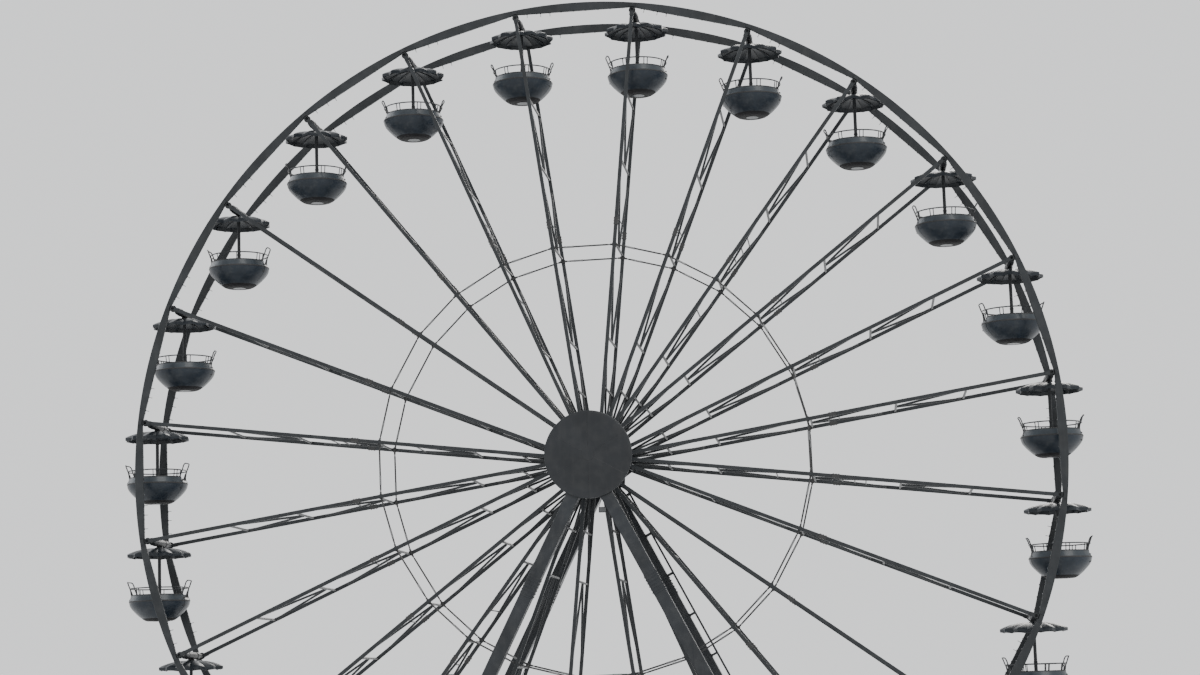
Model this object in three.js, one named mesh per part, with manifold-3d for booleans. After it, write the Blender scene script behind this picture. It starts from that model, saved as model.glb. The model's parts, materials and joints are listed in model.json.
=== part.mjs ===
// A travelling giant wheel with open round cabins, in millimetres, +Z up.
// The axle lies along Y, the front is towards -Y, and the origin is on the ground under the hub.
import * as THREE from "three";
import { mergeVertices } from "three/addons/utils/BufferGeometryUtils.js";
import Module from "manifold-3d";

const wasm = await Module();
wasm.setup();

// Driving dimensions of the wheel
const hubHeight = 19000;
const rimRadius = 15500;
const pivotRadius = 15250;
const cabinCount = 24;
const spokesPerGroup = 4;
const restTurn = THREE.MathUtils.degToRad(6.8);
const cabinStep = (2 * Math.PI) / cabinCount;
const seatGap = 0.3; // between pieces that rest on each other
const weldDepth = 20; // how far a bar runs into the one it is welded to

// Spoke frames: two rails, one behind the other, with rungs between them
const railSpacing = 2880;
const railDepth = 100;
const railWidth = 120;
const groupFocus = 474; // the four spokes of a group run to one point this far from the axle
const hubApothem = 1000;
const rungRadii = [2440, 4110, 7300, 10140, 12460];
const rungHeight = 60;
const rungThickness = 50;
const cabinAxleRadius = 60;

// Rims and rings of tie rods
const rimDepthAtNode = 160;
const rimStepsPerBay = 3;
const tieRadius = 7200;
const tieThickness = 26;

// Hub and towers
const shaftRadius = 250;
const bearingClearance = 0.5;
const drumRadius = 450;
const flangeFlat = 300; // half the flat face that each group of spokes stands on
const flangeNotch = 900; // radius of the notch between two flats
const roundSides = 24;
const towerPlane = 2550;
const legWidth = 420;
const legDepth = 450;
const legSlope = 0.509;
const legCrossing = 230; // the legs' middle lines meet this far below the axle
const headRadius = 620;
const frontCoverRadius = 1436;
const rearCoverRadius = 700;
const coverEdge = 70;
const coverBulge = 75;
const coverSides = 40;

// Base, outriggers and boarding platform
const beamHeight = 500;
const beamWidth = 460;
const baseHalfLength = 9850;
const outriggerPlace = 9300;
const outriggerReach = 6550;
const outriggerWidth = 560;
const innerBeamPlace = 2900;
const innerBeamWidth = 300;
const deckTop = 900;
const deckThickness = 120;
const deckHalfLength = 5000;
const deckHalfWidth = 4700;
const bearerWidth = 200;
const stairInner = 1600;
const stairOuter = 4600;
const stairCount = 4;
const treadDepth = 300;

// Cabins, measured down from their pivot
const cabinSides = 12;
const tubFloor = 2590;
const tubUnderside = 2650;
const tubFootRadius = 460;
const bowlCurve = [
  [610, 2560],
  [920, 2250],
]; // radius and distance down, between the foot and the belly
const tubBelly = 1990;
const tubBellyRadius = 1040;
const tubLining = 110; // from the skin to the seat backs, at the belly
const tubRim = 1750;
const tubRimRadius = 955;
const tubRimWidth = 50;
const benchTop = 2170;
const benchOuterRadius = 880;
const benchInnerRadius = 560;
const benchFootRadius = 500;
const canopyRadius = 1105;
const canopyEdge = 400;
const canopyCurve = [820, 262]; // between the canopy's edge and its top
const canopyTop = 165;
const canopyLip = 90; // how far the edge stands out past the underside
const canopyLipDrop = 480;
const canopyMiddle = 300;
const postRadius = 60;
const postTop = 80;
const sleeveRadius = 120;
const sleeveLength = 1900;
const axleSides = 8;

// Ladder on the outer side of the rear right leg
const ladderStandOff = 210;
const ladderWidth = 400;
const ladderBar = 45;
const ladderRungBar = 30;
const ladderFirst = 990;
const ladderPitch = 1550;
const ladderRungs = 13;

const wheelSteel = new THREE.MeshStandardMaterial({ color: 0x42474a, roughness: 0.45, metalness: 0.2 });
const towerSteel = new THREE.MeshStandardMaterial({ color: 0x3e4347, roughness: 0.45, metalness: 0.2 });
const coverPaint = new THREE.MeshStandardMaterial({ color: 0x33383c, roughness: 0.35, metalness: 0.0 });
const baseSteel = new THREE.MeshStandardMaterial({ color: 0x45494b, roughness: 0.55, metalness: 0.2 });
const galvanised = new THREE.MeshStandardMaterial({ color: 0x7d8082, roughness: 0.5, metalness: 0.8 });
const deckMetal = new THREE.MeshStandardMaterial({ color: 0x939596, roughness: 0.55, metalness: 0.7 });
const cabinShell = new THREE.MeshStandardMaterial({ color: 0x303d49, roughness: 0.3, metalness: 0.0 });

const wheelSpan = railSpacing / 2;
const railInnerFace = wheelSpan - railDepth / 2;
const railOuterFace = wheelSpan + railDepth / 2;
const weldFace = railInnerFace + weldDepth;
const model = new THREE.Group();

// Turning three.js geometry into solids and back
function solidFrom(geometry, matrix = new THREE.Matrix4()) {
  const placed = (geometry.index ? geometry.toNonIndexed() : geometry.clone()).applyMatrix4(matrix);
  placed.deleteAttribute("normal");
  placed.deleteAttribute("uv");
  const merged = mergeVertices(placed, 1e-3);
  return new wasm.Manifold(
    new wasm.Mesh({
      numProp: 3,
      vertProperties: merged.attributes.position.array,
      triVerts: new Uint32Array(merged.index.array),
    }),
  );
}

function geometryFrom(solid) {
  const made = solid.getMesh();
  return new THREE.BufferGeometry()
    .setAttribute("position", new THREE.BufferAttribute(Float32Array.from(made.vertProperties), 3))
    .setIndex(new THREE.BufferAttribute(Uint32Array.from(made.triVerts), 1));
}

const joined = (solids) => solids.reduce((whole, next) => whole.add(next));

function addMesh(name, solid, material, parent = model) {
  const mesh = new THREE.Mesh(geometryFrom(solid), material);
  mesh.name = name;
  parent.add(mesh);
  return mesh;
}

// A box from its lowest to its highest corner
function box(low, high) {
  const size = high.map((value, i) => value - low[i]);
  const middle = high.map((value, i) => (value + low[i]) / 2);
  return solidFrom(new THREE.BoxGeometry(...size), new THREE.Matrix4().makeTranslation(...middle));
}

// A plate with its outline drawn in X and Z, and its thickness along Y. A hole is drawn the same way round.
function plate(outline, yLow, yHigh, hole = null) {
  const shape = new THREE.Shape(outline.map(([x, z]) => new THREE.Vector2(x, z)));
  if (hole) shape.holes.push(new THREE.Path(hole.map(([x, z]) => new THREE.Vector2(x, z)).reverse()));
  const geometry = new THREE.ExtrudeGeometry(shape, { depth: yHigh - yLow, bevelEnabled: false, steps: 1 });
  const place = new THREE.Matrix4().makeTranslation(0, yHigh, 0);
  return solidFrom(geometry, place.multiply(new THREE.Matrix4().makeRotationX(Math.PI / 2)));
}

// A round bar along Y, centred at x and z, with one corner turned from straight up by the given angle
function barAlongY(radius, yLow, yHigh, sides, x = 0, z = 0, turn = 0) {
  const geometry = new THREE.CylinderGeometry(radius, radius, yHigh - yLow, sides);
  const place = new THREE.Matrix4().makeTranslation(x, (yLow + yHigh) / 2, z);
  return solidFrom(geometry, place.multiply(new THREE.Matrix4().makeRotationY(turn)));
}

// A hole for a round bar: its flats clear the bar's corners at any turn, and face them at rest
function boreAlongY(barRadius, yLow, yHigh, sides, z = 0) {
  const halfStep = Math.PI / sides;
  return barAlongY((barRadius + bearingClearance) / Math.cos(halfStep), yLow, yHigh, sides, 0, z, halfStep);
}

// Points of a regular outline, with their own radius for each step
function ringOutline(count, radius, start = 0) {
  return Array.from({ length: count }, (_, i) => {
    const angle = start + (2 * Math.PI * i) / count;
    return [radius * Math.sin(angle), radius * Math.cos(angle)];
  });
}

// A spoke's own line: from the focus of its group to the pivot of its cabin.
// Angles turn clockwise from straight up, as seen from the front.
function spokeLine(index) {
  const angle = restTurn + index * cabinStep;
  const group = Math.floor(index / spokesPerGroup);
  const groupAngle = restTurn + (group * spokesPerGroup + (spokesPerGroup - 1) / 2) * cabinStep;
  const focus = new THREE.Vector2(Math.sin(groupAngle), Math.cos(groupAngle)).multiplyScalar(groupFocus);
  const pivot = new THREE.Vector2(Math.sin(angle), Math.cos(angle)).multiplyScalar(pivotRadius);
  const run = pivot.clone().sub(focus);
  const heading = Math.atan2(run.x, run.y);
  return { angle, focus, pivot, length: run.length(), heading, lean: heading - groupAngle };
}

// Where a spoke's line is at the given distance from the axle
function pointOnSpoke(line, radius) {
  const along = new THREE.Vector2(Math.sin(line.heading), Math.cos(line.heading));
  const b = line.focus.dot(along);
  const distance = -b + Math.sqrt(b * b - line.focus.lengthSq() + radius * radius);
  return line.focus.clone().addScaledVector(along, distance);
}

// Wheel: everything here turns with the hub
const wheel = new THREE.Group();
wheel.position.set(0, 0, hubHeight);
model.add(wheel);

function spokeSolid(line) {
  const half = railWidth / 2;
  const reach = hubApothem + seatGap - groupFocus;
  const rootZ = (x) => (reach + x * Math.sin(line.lean)) / Math.cos(line.lean);
  // The rim's inner edge falls away on both sides of its corner, and the rail meets it at a slight slant
  const endRoom = rimRadius - rimDepthAtNode - pivotRadius;
  const fall = Math.tan(cabinStep / 2);
  const slant = Math.abs(Math.sin(line.heading - line.angle));
  const tip = line.length + endRoom - half * fall - (half + endRoom * fall) * slant - seatGap;
  const rail = [
    [-half, rootZ(-half)],
    [half, rootZ(half)],
    [half, tip],
    [-half, tip],
  ];
  const parts = [
    plate(rail, -railOuterFace, -railInnerFace),
    plate(rail, railInnerFace, railOuterFace),
    barAlongY(cabinAxleRadius, -weldFace, weldFace, axleSides, 0, line.length, -line.heading),
  ];
  for (const radius of rungRadii) {
    const z = radius - groupFocus;
    parts.push(
      box(
        [-rungThickness / 2, -weldFace, z - rungHeight / 2],
        [rungThickness / 2, weldFace, z + rungHeight / 2],
      ),
    );
  }
  return joined(parts);
}

function addSpokes() {
  for (let i = 0; i < cabinCount; i++) {
    const line = spokeLine(i);
    const mesh = addMesh(`spoke_${String(i + 1).padStart(2, "0")}`, spokeSolid(line), wheelSteel, wheel);
    mesh.position.set(line.focus.x, 0, line.focus.y);
    mesh.rotation.y = line.heading;
  }
}

function addRims() {
  const outer = ringOutline(cabinCount * rimStepsPerBay, rimRadius, restTurn);
  const inner = ringOutline(cabinCount, rimRadius - rimDepthAtNode, restTurn);
  addMesh("rim_front", plate(outer, -railOuterFace, -railInnerFace, inner), wheelSteel, wheel);
  addMesh("rim_rear", plate(outer, railInnerFace, railOuterFace, inner), wheelSteel, wheel);
}

// Straight rods from spoke to spoke, on the inner faces of the rails
function addTieRods() {
  const corners = (radius) =>
    Array.from({ length: cabinCount }, (_, i) => {
      const point = pointOnSpoke(spokeLine(i), radius);
      return [point.x, point.y];
    });
  const outer = corners(tieRadius + tieThickness / 2);
  const inner = corners(tieRadius - tieThickness / 2);
  const face = railInnerFace - seatGap;
  addMesh("tie_rods_front", plate(outer, -face, tieThickness - face, inner), galvanised, wheel);
  addMesh("tie_rods_rear", plate(outer, face - tieThickness, face, inner), galvanised, wheel);
}

// A flange has a flat face for each group of spokes and a shallow notch between two of them
function flangeOutline() {
  const reach = Math.hypot(flangeFlat, hubApothem);
  const spread = Math.atan2(flangeFlat, hubApothem);
  const halfGroup = (spokesPerGroup * cabinStep) / 2;
  const outline = [];
  for (let first = 0; first < cabinCount; first += spokesPerGroup) {
    const middle = restTurn + (first - 0.5) * cabinStep + halfGroup;
    outline.push(
      [reach * Math.sin(middle - spread), reach * Math.cos(middle - spread)],
      [reach * Math.sin(middle + spread), reach * Math.cos(middle + spread)],
      [flangeNotch * Math.sin(middle + halfGroup), flangeNotch * Math.cos(middle + halfGroup)],
    );
  }
  return outline;
}

function addHub() {
  const flange = flangeOutline();
  const shaftEnd = towerPlane + legDepth / 2 - weldDepth;
  addMesh(
    "hub_drum",
    joined([
      plate(flange, -railOuterFace, -railInnerFace),
      plate(flange, railInnerFace, railOuterFace),
      barAlongY(drumRadius, -weldFace, weldFace, roundSides),
      barAlongY(shaftRadius, -shaftEnd, shaftEnd, roundSides),
    ]),
    wheelSteel,
    wheel,
  );
}

// Cabins: tub with its ring bench, centre post, canopy and the sleeve that hangs on the spoke's cross tube
function cabinProfile() {
  return [
    [0, tubUnderside],
    [tubFootRadius, tubUnderside],
    ...bowlCurve,
    [tubBellyRadius, tubBelly],
    [tubRimRadius, tubRim],
    [tubRimRadius - tubRimWidth, tubRim],
    [tubBellyRadius - tubLining, tubBelly],
    [benchOuterRadius, benchTop],
    [benchInnerRadius, benchTop],
    [benchFootRadius, tubFloor],
    [postRadius, tubFloor],
    [postRadius, canopyMiddle],
    [canopyRadius - canopyLip, canopyLipDrop],
    [canopyRadius, canopyEdge],
    canopyCurve,
    [postRadius, canopyTop],
    [postRadius, postTop],
    [0, postTop],
  ].map(([r, down]) => new THREE.Vector2(r, -down));
}

function cabinSolid() {
  const upright = new THREE.Matrix4().makeRotationX(Math.PI / 2);
  const shell = solidFrom(new THREE.LatheGeometry(cabinProfile(), cabinSides), upright);
  const half = sleeveLength / 2;
  return joined([shell, barAlongY(sleeveRadius, -half, half, axleSides)]).subtract(
    boreAlongY(cabinAxleRadius, -sleeveLength, sleeveLength, axleSides),
  );
}

function addCabins() {
  const solid = cabinSolid();
  for (let i = 0; i < cabinCount; i++) {
    const { pivot } = spokeLine(i);
    const name = `gondola_${String(i + 1).padStart(2, "0")}`;
    const mesh = addMesh(name, solid, cabinShell);
    mesh.position.set(pivot.x, 0, hubHeight + pivot.y);
  }
}

// Towers: an A-frame in front of the wheel and one behind it
function legOutline(side) {
  const foot = beamHeight + seatGap;
  const halfAcross = (legWidth / 2) * Math.hypot(1, legSlope);
  const middle = (z) => side * legSlope * (hubHeight - legCrossing - z);
  return [
    [middle(foot) - halfAcross, foot],
    [middle(foot) + halfAcross, foot],
    [middle(hubHeight) + halfAcross, hubHeight],
    [middle(hubHeight) - halfAcross, hubHeight],
  ];
}

function addTower(name, side) {
  const low = side * towerPlane - legDepth / 2;
  const high = side * towerPlane + legDepth / 2;
  const frame = joined([
    plate(legOutline(-1), low, high),
    plate(legOutline(1), low, high),
    barAlongY(headRadius, low, high, roundSides, 0, hubHeight),
  ]);
  const bore = boreAlongY(shaftRadius, low - weldDepth, high + weldDepth, roundSides, hubHeight);
  addMesh(name, frame.subtract(bore), towerSteel);
}

// A round cover with a slightly domed face closes each tower head
function addHubCover(name, side, radius) {
  const profile = [
    [0, 0],
    [radius, 0],
    [radius, coverEdge],
    [radius - coverEdge, coverEdge + coverBulge / 2],
    [0, coverEdge + coverBulge],
  ].map(([r, y]) => new THREE.Vector2(r, y));
  const place = new THREE.Matrix4().makeTranslation(
    0,
    side * (towerPlane + legDepth / 2 + seatGap),
    hubHeight,
  );
  if (side < 0) place.multiply(new THREE.Matrix4().makeRotationX(Math.PI));
  addMesh(name, solidFrom(new THREE.LatheGeometry(profile, coverSides), place), coverPaint);
}

function addBase() {
  const beams = [];
  for (const side of [-1, 1]) {
    beams.push(
      box(
        [-baseHalfLength, side * towerPlane - beamWidth / 2, 0],
        [baseHalfLength, side * towerPlane + beamWidth / 2, beamHeight],
      ),
      box(
        [side * outriggerPlace - outriggerWidth / 2, -outriggerReach, 0],
        [side * outriggerPlace + outriggerWidth / 2, outriggerReach, beamHeight],
      ),
      box(
        [side * innerBeamPlace - innerBeamWidth / 2, -towerPlane, 0],
        [side * innerBeamPlace + innerBeamWidth / 2, towerPlane, beamHeight],
      ),
    );
  }
  addMesh("base_frame", joined(beams), baseSteel);
}

// The deck lies on bearers along the base beams and on posts along its edges, and has two flights of steps
function addPlatform() {
  const deckUnder = deckTop - deckThickness;
  const welded = deckUnder + weldDepth;
  const half = bearerWidth / 2;
  const riser = deckTop / (stairCount + 1);
  const parts = [box([-deckHalfLength, -deckHalfWidth, deckUnder], [deckHalfLength, deckHalfWidth, deckTop])];
  for (const side of [-1, 1]) {
    const bearer = side * towerPlane;
    const edge = side * (deckHalfWidth - half);
    parts.push(
      box([-deckHalfLength, bearer - half, beamHeight + seatGap], [deckHalfLength, bearer + half, welded]),
    );
    for (const end of [-1, 0, 1]) {
      const x = end * (deckHalfLength - half);
      parts.push(box([x - half, edge - half, 0], [x + half, edge + half, welded]));
    }
    const flight = [stairInner * side, stairOuter * side].sort((a, b) => a - b);
    parts.push(box([flight[0], -deckHalfWidth, 0], [flight[1], bearerWidth - deckHalfWidth, welded]));
    for (let step = 1; step <= stairCount; step++) {
      const front = -deckHalfWidth - (stairCount + 1 - step) * treadDepth;
      parts.push(box([flight[0], front, 0], [flight[1], weldDepth - deckHalfWidth, step * riser]));
    }
  }
  addMesh("boarding_platform", joined(parts), deckMetal);
}

// The ladder is drawn along Z, which runs down the leg's middle line once it is leaned with the leg.
// Its own -X is then the leg's outer side.
function addLadder() {
  const legLean = Math.atan(legSlope);
  const face = -legWidth / 2 - seatGap;
  const out = -legWidth / 2 - ladderStandOff;
  const last = ladderFirst + (ladderRungs - 1) * ladderPitch;
  const bar = ladderBar / 2;
  const rung = ladderRungBar / 2;
  const parts = [];
  for (const side of [-1, 1]) {
    const y = side * (ladderWidth / 2);
    parts.push(
      box([out - bar, y - bar, ladderFirst - ladderPitch / 4], [out + bar, y + bar, last + ladderPitch / 4]),
    );
  }
  for (let i = 0; i < ladderRungs; i++) {
    const z = ladderFirst + i * ladderPitch;
    parts.push(
      box([out - rung, -ladderWidth / 2, z - rung], [out + rung, ladderWidth / 2, z + rung]),
      box([out - rung / 2, -bar, z - bar], [face, bar, z + bar]),
    );
  }
  const mesh = addMesh("leg_ladder", joined(parts), galvanised);
  mesh.position.set(0, towerPlane, hubHeight - legCrossing);
  mesh.rotation.set(0, Math.PI - legLean, 0);
}

addSpokes();
addRims();
addTieRods();
addHub();
addCabins();
addTower("tower_front", -1);
addTower("tower_rear", 1);
addHubCover("hub_cover_front", -1, frontCoverRadius);
addHubCover("hub_cover_rear", 1, rearCoverRadius);
addBase();
addPlatform();
addLadder();

export default model;
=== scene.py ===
# A travelling giant wheel with open round cabins, dressed for a studio picture. Metres, +Z up.
import json
import math

import bpy
from mathutils import Matrix, Vector

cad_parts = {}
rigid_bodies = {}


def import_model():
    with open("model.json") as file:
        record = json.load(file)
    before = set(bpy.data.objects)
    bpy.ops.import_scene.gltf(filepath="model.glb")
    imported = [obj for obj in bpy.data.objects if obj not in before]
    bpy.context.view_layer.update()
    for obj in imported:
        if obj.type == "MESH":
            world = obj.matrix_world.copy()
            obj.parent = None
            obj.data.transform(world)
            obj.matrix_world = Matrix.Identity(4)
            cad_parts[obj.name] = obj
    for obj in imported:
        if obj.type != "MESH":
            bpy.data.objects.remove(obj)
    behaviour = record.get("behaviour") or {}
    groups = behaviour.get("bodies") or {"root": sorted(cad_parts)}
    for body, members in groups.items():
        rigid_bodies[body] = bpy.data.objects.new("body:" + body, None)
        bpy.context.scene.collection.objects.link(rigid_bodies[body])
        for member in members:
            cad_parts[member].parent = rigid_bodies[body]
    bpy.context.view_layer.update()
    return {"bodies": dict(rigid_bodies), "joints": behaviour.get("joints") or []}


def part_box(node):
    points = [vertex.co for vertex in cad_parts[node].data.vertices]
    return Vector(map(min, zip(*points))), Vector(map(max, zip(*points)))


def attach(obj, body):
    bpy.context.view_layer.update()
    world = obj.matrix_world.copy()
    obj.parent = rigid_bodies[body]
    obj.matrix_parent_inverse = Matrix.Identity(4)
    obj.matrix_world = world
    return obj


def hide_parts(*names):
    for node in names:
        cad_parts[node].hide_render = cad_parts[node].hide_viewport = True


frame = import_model()

# What the frame says about the wheel
joints = {joint["name"]: Vector(joint["pos_m"]) for joint in frame["joints"]}
hub = joints["wheel_turn"]
cabinNames = sorted(name for name in frame["bodies"] if name.startswith("gondola_"))
pivots = [joints[name + "_swing"] for name in cabinNames]
cabinCount = len(pivots)
rimLow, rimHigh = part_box("rim_front")
rimRadius = rimHigh.x
outerFace = -rimLow.y
innerFace = -rimHigh.y
railY = (outerFace + innerFace) / 2
up = Vector((0, 0, 1))
print("frame loaded:", cabinCount, "cabins")


def turns(count, start=0.0):
    return [start + 2 * math.pi * i / count for i in range(count)]


def radial(angle, radius, height=0.0):
    return Vector((radius * math.cos(angle), radius * math.sin(angle), height))


# a point of the wheel: angle clockwise from straight up, seen from the front
def onWheel(angle, radius, y):
    return hub + Vector((radius * math.sin(angle), y, radius * math.cos(angle)))


class Shape:
    # gathers the parts of one piece as points and faces
    def __init__(self):
        self.points = []
        self.faces = []
        self.paints = []
        self.place = Matrix()
        self.paint = 0

    def add(self, points, faces):
        first = len(self.points)
        self.points.extend(self.place @ Vector(point) for point in points)
        self.faces.extend([first + i for i in face] for face in faces)
        self.paints.extend([self.paint] * len(faces))

    # rings of equal length, each anticlockwise as seen from the next one on
    def skin(self, rings, loop=False, rowPaints=None):
        size = len(rings[0])
        rows = len(rings)
        faces = []
        for row in range(rows if loop else rows - 1):
            low = row * size
            high = (row + 1) % rows * size
            for i in range(size):
                j = (i + 1) % size
                faces.append((low + i, low + j, high + j, high + i))
        if not loop:
            faces.append(tuple(reversed(range(size))))
            faces.append(tuple(range((rows - 1) * size, rows * size)))
        first = len(self.paints)
        self.add([point for ring in rings for point in ring], faces)
        for row, paint in enumerate(rowPaints or []):
            low = first + row * size
            self.paints[low:low + size] = [paint] * size

    # a turned part about Z; its profile runs upwards on the outside
    def lathe(self, profile, sides, loop=False):
        self.skin([[radial(a, r, z) for a in turns(sides)] for r, z in profile], loop)

    # a straight bar of flat section, with its width along the given direction
    def beam(self, start, end, across, width, depth, edge=0.0):
        start, end, across = Vector(start), Vector(end), Vector(across)
        along = (end - start).normalized()
        wide = (across - along * along.dot(across)).normalized()
        deep = along.cross(wide)
        w, d = width / 2, depth / 2
        section = [(w, -d), (w, d), (-w, d), (-w, -d)]
        if edge:
            section = [(w, edge - d), (w, d - edge), (w - edge, d), (edge - w, d),
                       (-w, d - edge), (-w, edge - d), (edge - w, -d), (w - edge, -d)]
        self.skin([[p + wide * u + deep * v for u, v in section] for p in (start, end)])

    def rod(self, start, end, radius, sides=10, endRadius=None):
        start, end = Vector(start), Vector(end)
        along = (end - start).normalized()
        wide = along.orthogonal().normalized()
        deep = along.cross(wide)
        sizes = (radius, radius if endRadius is None else endRadius)
        self.skin([[p + (wide * math.cos(a) + deep * math.sin(a)) * r for a in turns(sides)]
                   for p, r in zip((start, end), sizes)])

    def tube(self, path, radius, sides=8, loop=False):
        path = [Vector(point) for point in path]
        wide = None
        rings = []
        for i, point in enumerate(path):
            before = path[i - 1] if i or loop else point
            after = path[(i + 1) % len(path)] if i < len(path) - 1 or loop else point
            along = (after - before).normalized()
            wide = along.orthogonal() if wide is None else wide
            wide = (wide - along * along.dot(wide)).normalized()
            deep = along.cross(wide)
            rings.append([point + (wide * math.cos(a) + deep * math.sin(a)) * radius for a in turns(sides)])
        self.skin(rings, loop)

    # a box with its edges taken off
    def block(self, low, high, edge=0.0):
        if not edge:
            middle = (Vector(low) + Vector(high)) / 2
            size = Vector(high) - Vector(low)
            self.beam((middle.x, middle.y, low[2]), (middle.x, middle.y, high[2]), (1, 0, 0), size.x, size.y)
            return
        rings = []
        for z, inset in ((low[2], edge), (low[2] + edge, 0), (high[2] - edge, 0), (high[2], edge)):
            x0, x1, y0, y1 = low[0] + inset, high[0] - inset, low[1] + inset, high[1] - inset
            cut = edge * 0.4 if inset else edge
            rings.append([(x1, y0 + cut, z), (x1, y1 - cut, z), (x1 - cut, y1, z), (x0 + cut, y1, z),
                          (x0, y1 - cut, z), (x0, y0 + cut, z), (x0 + cut, y0, z), (x1 - cut, y0, z)])
        self.skin(rings)

    # an outline drawn in two axes, thick along the third
    def plate(self, outline, low, high, axis=1):
        ends = outline[1:] + outline[:1]
        area = sum(a[0] * b[1] - b[0] * a[1] for a, b in zip(outline, ends))
        if (area < 0) != (axis == 1):
            outline = outline[::-1]
        self.skin([[[*point[:axis], level, *point[axis:]] for point in outline] for level in (low, high)])

    def bolt(self, foot, axis, size=0.03):
        foot, axis = Vector(foot), Vector(axis).normalized()
        self.rod(foot, foot + axis * size * 0.6, size * 0.5, 6)

    def dome(self, foot, axis, radius, height, sides=8):
        foot, axis = Vector(foot), Vector(axis).normalized()
        wide = axis.orthogonal().normalized()
        deep = axis.cross(wide)
        rings = []
        for rise, share in ((0, 1), (0.4, 0.93), (0.75, 0.66), (1, 0.25)):
            middle = foot + axis * height * rise
            rings.append([middle + (wide * math.cos(a) + deep * math.sin(a)) * radius * share
                          for a in turns(sides)])
        self.skin(rings)

    def piece(self, name, paints, smooth=34):
        mesh = bpy.data.meshes.new(name)
        mesh.from_pydata(self.points, [], self.faces)
        mesh.polygons.foreach_set("material_index", self.paints)
        for paint in paints:
            mesh.materials.append(paint)
        mesh.shade_smooth()
        mesh.set_sharp_from_angle(angle=math.radians(smooth))
        return placed(name, mesh)


def placed(name, mesh, place=Matrix()):
    piece = bpy.data.objects.new(name, mesh)
    bpy.context.scene.collection.objects.link(piece)
    piece.matrix_world = place
    return piece


def settle(piece, body, slot, *nodes):
    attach(piece, body)
    if nodes:
        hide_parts(*nodes)


# Materials
class Wire:
    # a socket of a material, so that shader maths reads as plain sums
    def __init__(self, paint, socket):
        self.paint = paint
        self.socket = socket

    def maths(self, kind, a, b):
        return self.paint.node("ShaderNodeMath", {"operation": kind}, {0: a, 1: b})

    def __add__(self, other):
        return self.maths("ADD", self, other)

    def __sub__(self, other):
        return self.maths("SUBTRACT", self, other)

    def __rsub__(self, other):
        return self.maths("SUBTRACT", other, self)

    def __mul__(self, other):
        return self.maths("MULTIPLY", self, other)

    __radd__ = __add__
    __rmul__ = __mul__


class Paint:
    def __init__(self, name, **settings):
        self.material = bpy.data.materials.new(name)
        self.material.use_nodes = True
        self.tree = self.material.node_tree
        self.shader = self.tree.nodes["Principled BSDF"]
        self.here = self.node("ShaderNodeTexCoord", output="Object")
        for socket, value in settings.items():
            self.put(self.shader.inputs[socket.replace("_", " ")], value)

    def put(self, socket, value):
        if isinstance(value, Wire):
            self.tree.links.new(value.socket, socket)
        else:
            socket.default_value = value

    def set(self, socket, value):
        self.put(self.shader.inputs[socket], value)

    # any node: its settings first, then the values or links of its sockets
    def node(self, kind, settings=None, sockets=None, output=0):
        made = self.tree.nodes.new(kind)
        for key, value in (settings or {}).items():
            if key == "stops":
                for stop, (place, shade) in zip(made.color_ramp.elements, value):
                    stop.position = place
                    stop.color = shade
            else:
                setattr(made, key, value)
        for key, value in (sockets or {}).items():
            self.put(made.inputs[key], value)
        return Wire(self, made.outputs[output])

    def stretched(self, x, y, z):
        return self.node("ShaderNodeMapping", {}, {"Vector": self.here, "Scale": (x, y, z)})

    def noise(self, scale, detail=3.0, vector=None, rough=0.5):
        return self.node("ShaderNodeTexNoise", {}, {
            "Vector": vector or self.here, "Scale": scale, "Detail": detail, "Roughness": rough})

    def cells(self, scale, feature="F1", output="Distance"):
        return self.node("ShaderNodeTexVoronoi", {"feature": feature}, {
            "Vector": self.here, "Scale": scale}, output)

    # 0 below low, 1 above high
    def between(self, value, low, high):
        return self.node("ShaderNodeMapRange", {"interpolation_type": "SMOOTHSTEP"}, {
            "Value": value, "From Min": low, "From Max": high})

    def mix(self, mask, a, b):
        return self.node("ShaderNodeMix", {"data_type": "RGBA"}, {0: mask, 6: a, 7: b}, 2)

    def bump(self, height, distance, strength=1.0):
        self.set("Normal", self.node("ShaderNodeBump", {}, {
            "Height": height, "Distance": distance, "Strength": strength}))


def rgb(r, g, b):
    return (r, g, b, 1.0)


paintSizes = {
    "orangePeel": 260.0, "orangePeelDepth": 0.0004, "blotches": 0.9, "streaks": (7.0, 7.0, 0.55),
    "chips": 70.0, "dust": rgb(0.15, 0.148, 0.14), "primer": rgb(0.11, 0.105, 0.10),
    "spangle": 55.0, "treadPitch": 21.0,
}


# satin paint on steel: slow changes of tone, rain streaks, a little dust and small chips
def satinPaint(name, colour, rough, dusty, chipped):
    paint = Paint(name, Metallic=0.0, Specular_IOR_Level=0.32)
    blotches = paint.between(paint.noise(paintSizes["blotches"], 4), 0.35, 0.65)
    streaks = paint.between(paint.noise(1.0, 4, paint.stretched(*paintSizes["streaks"])), 0.45, 0.75)
    grain = paint.noise(paintSizes["orangePeel"], 2)
    speck = paint.noise(paintSizes["chips"], 4, rough=0.65)
    chips = paint.between(speck + blotches * 0.02, 0.76 - 0.05 * chipped, 0.78 - 0.05 * chipped)
    film = paint.between(paint.noise(3.2, 5), 0.4, 0.7) * dusty + streaks * (dusty * 0.6)
    darker = tuple(0.72 * v for v in colour[:3]) + (1.0,)
    tone = paint.mix(blotches, darker, colour)
    dusted = paint.mix(film, tone, paintSizes["dust"])
    paint.set("Base Color", paint.mix(chips, dusted, paintSizes["primer"]))
    paint.set("Roughness", grain * 0.08 + film * 0.35 + chips * 0.3 + rough)
    paint.bump(grain * 0.4 - chips * 0.8, paintSizes["orangePeelDepth"])
    return paint.material


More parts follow.
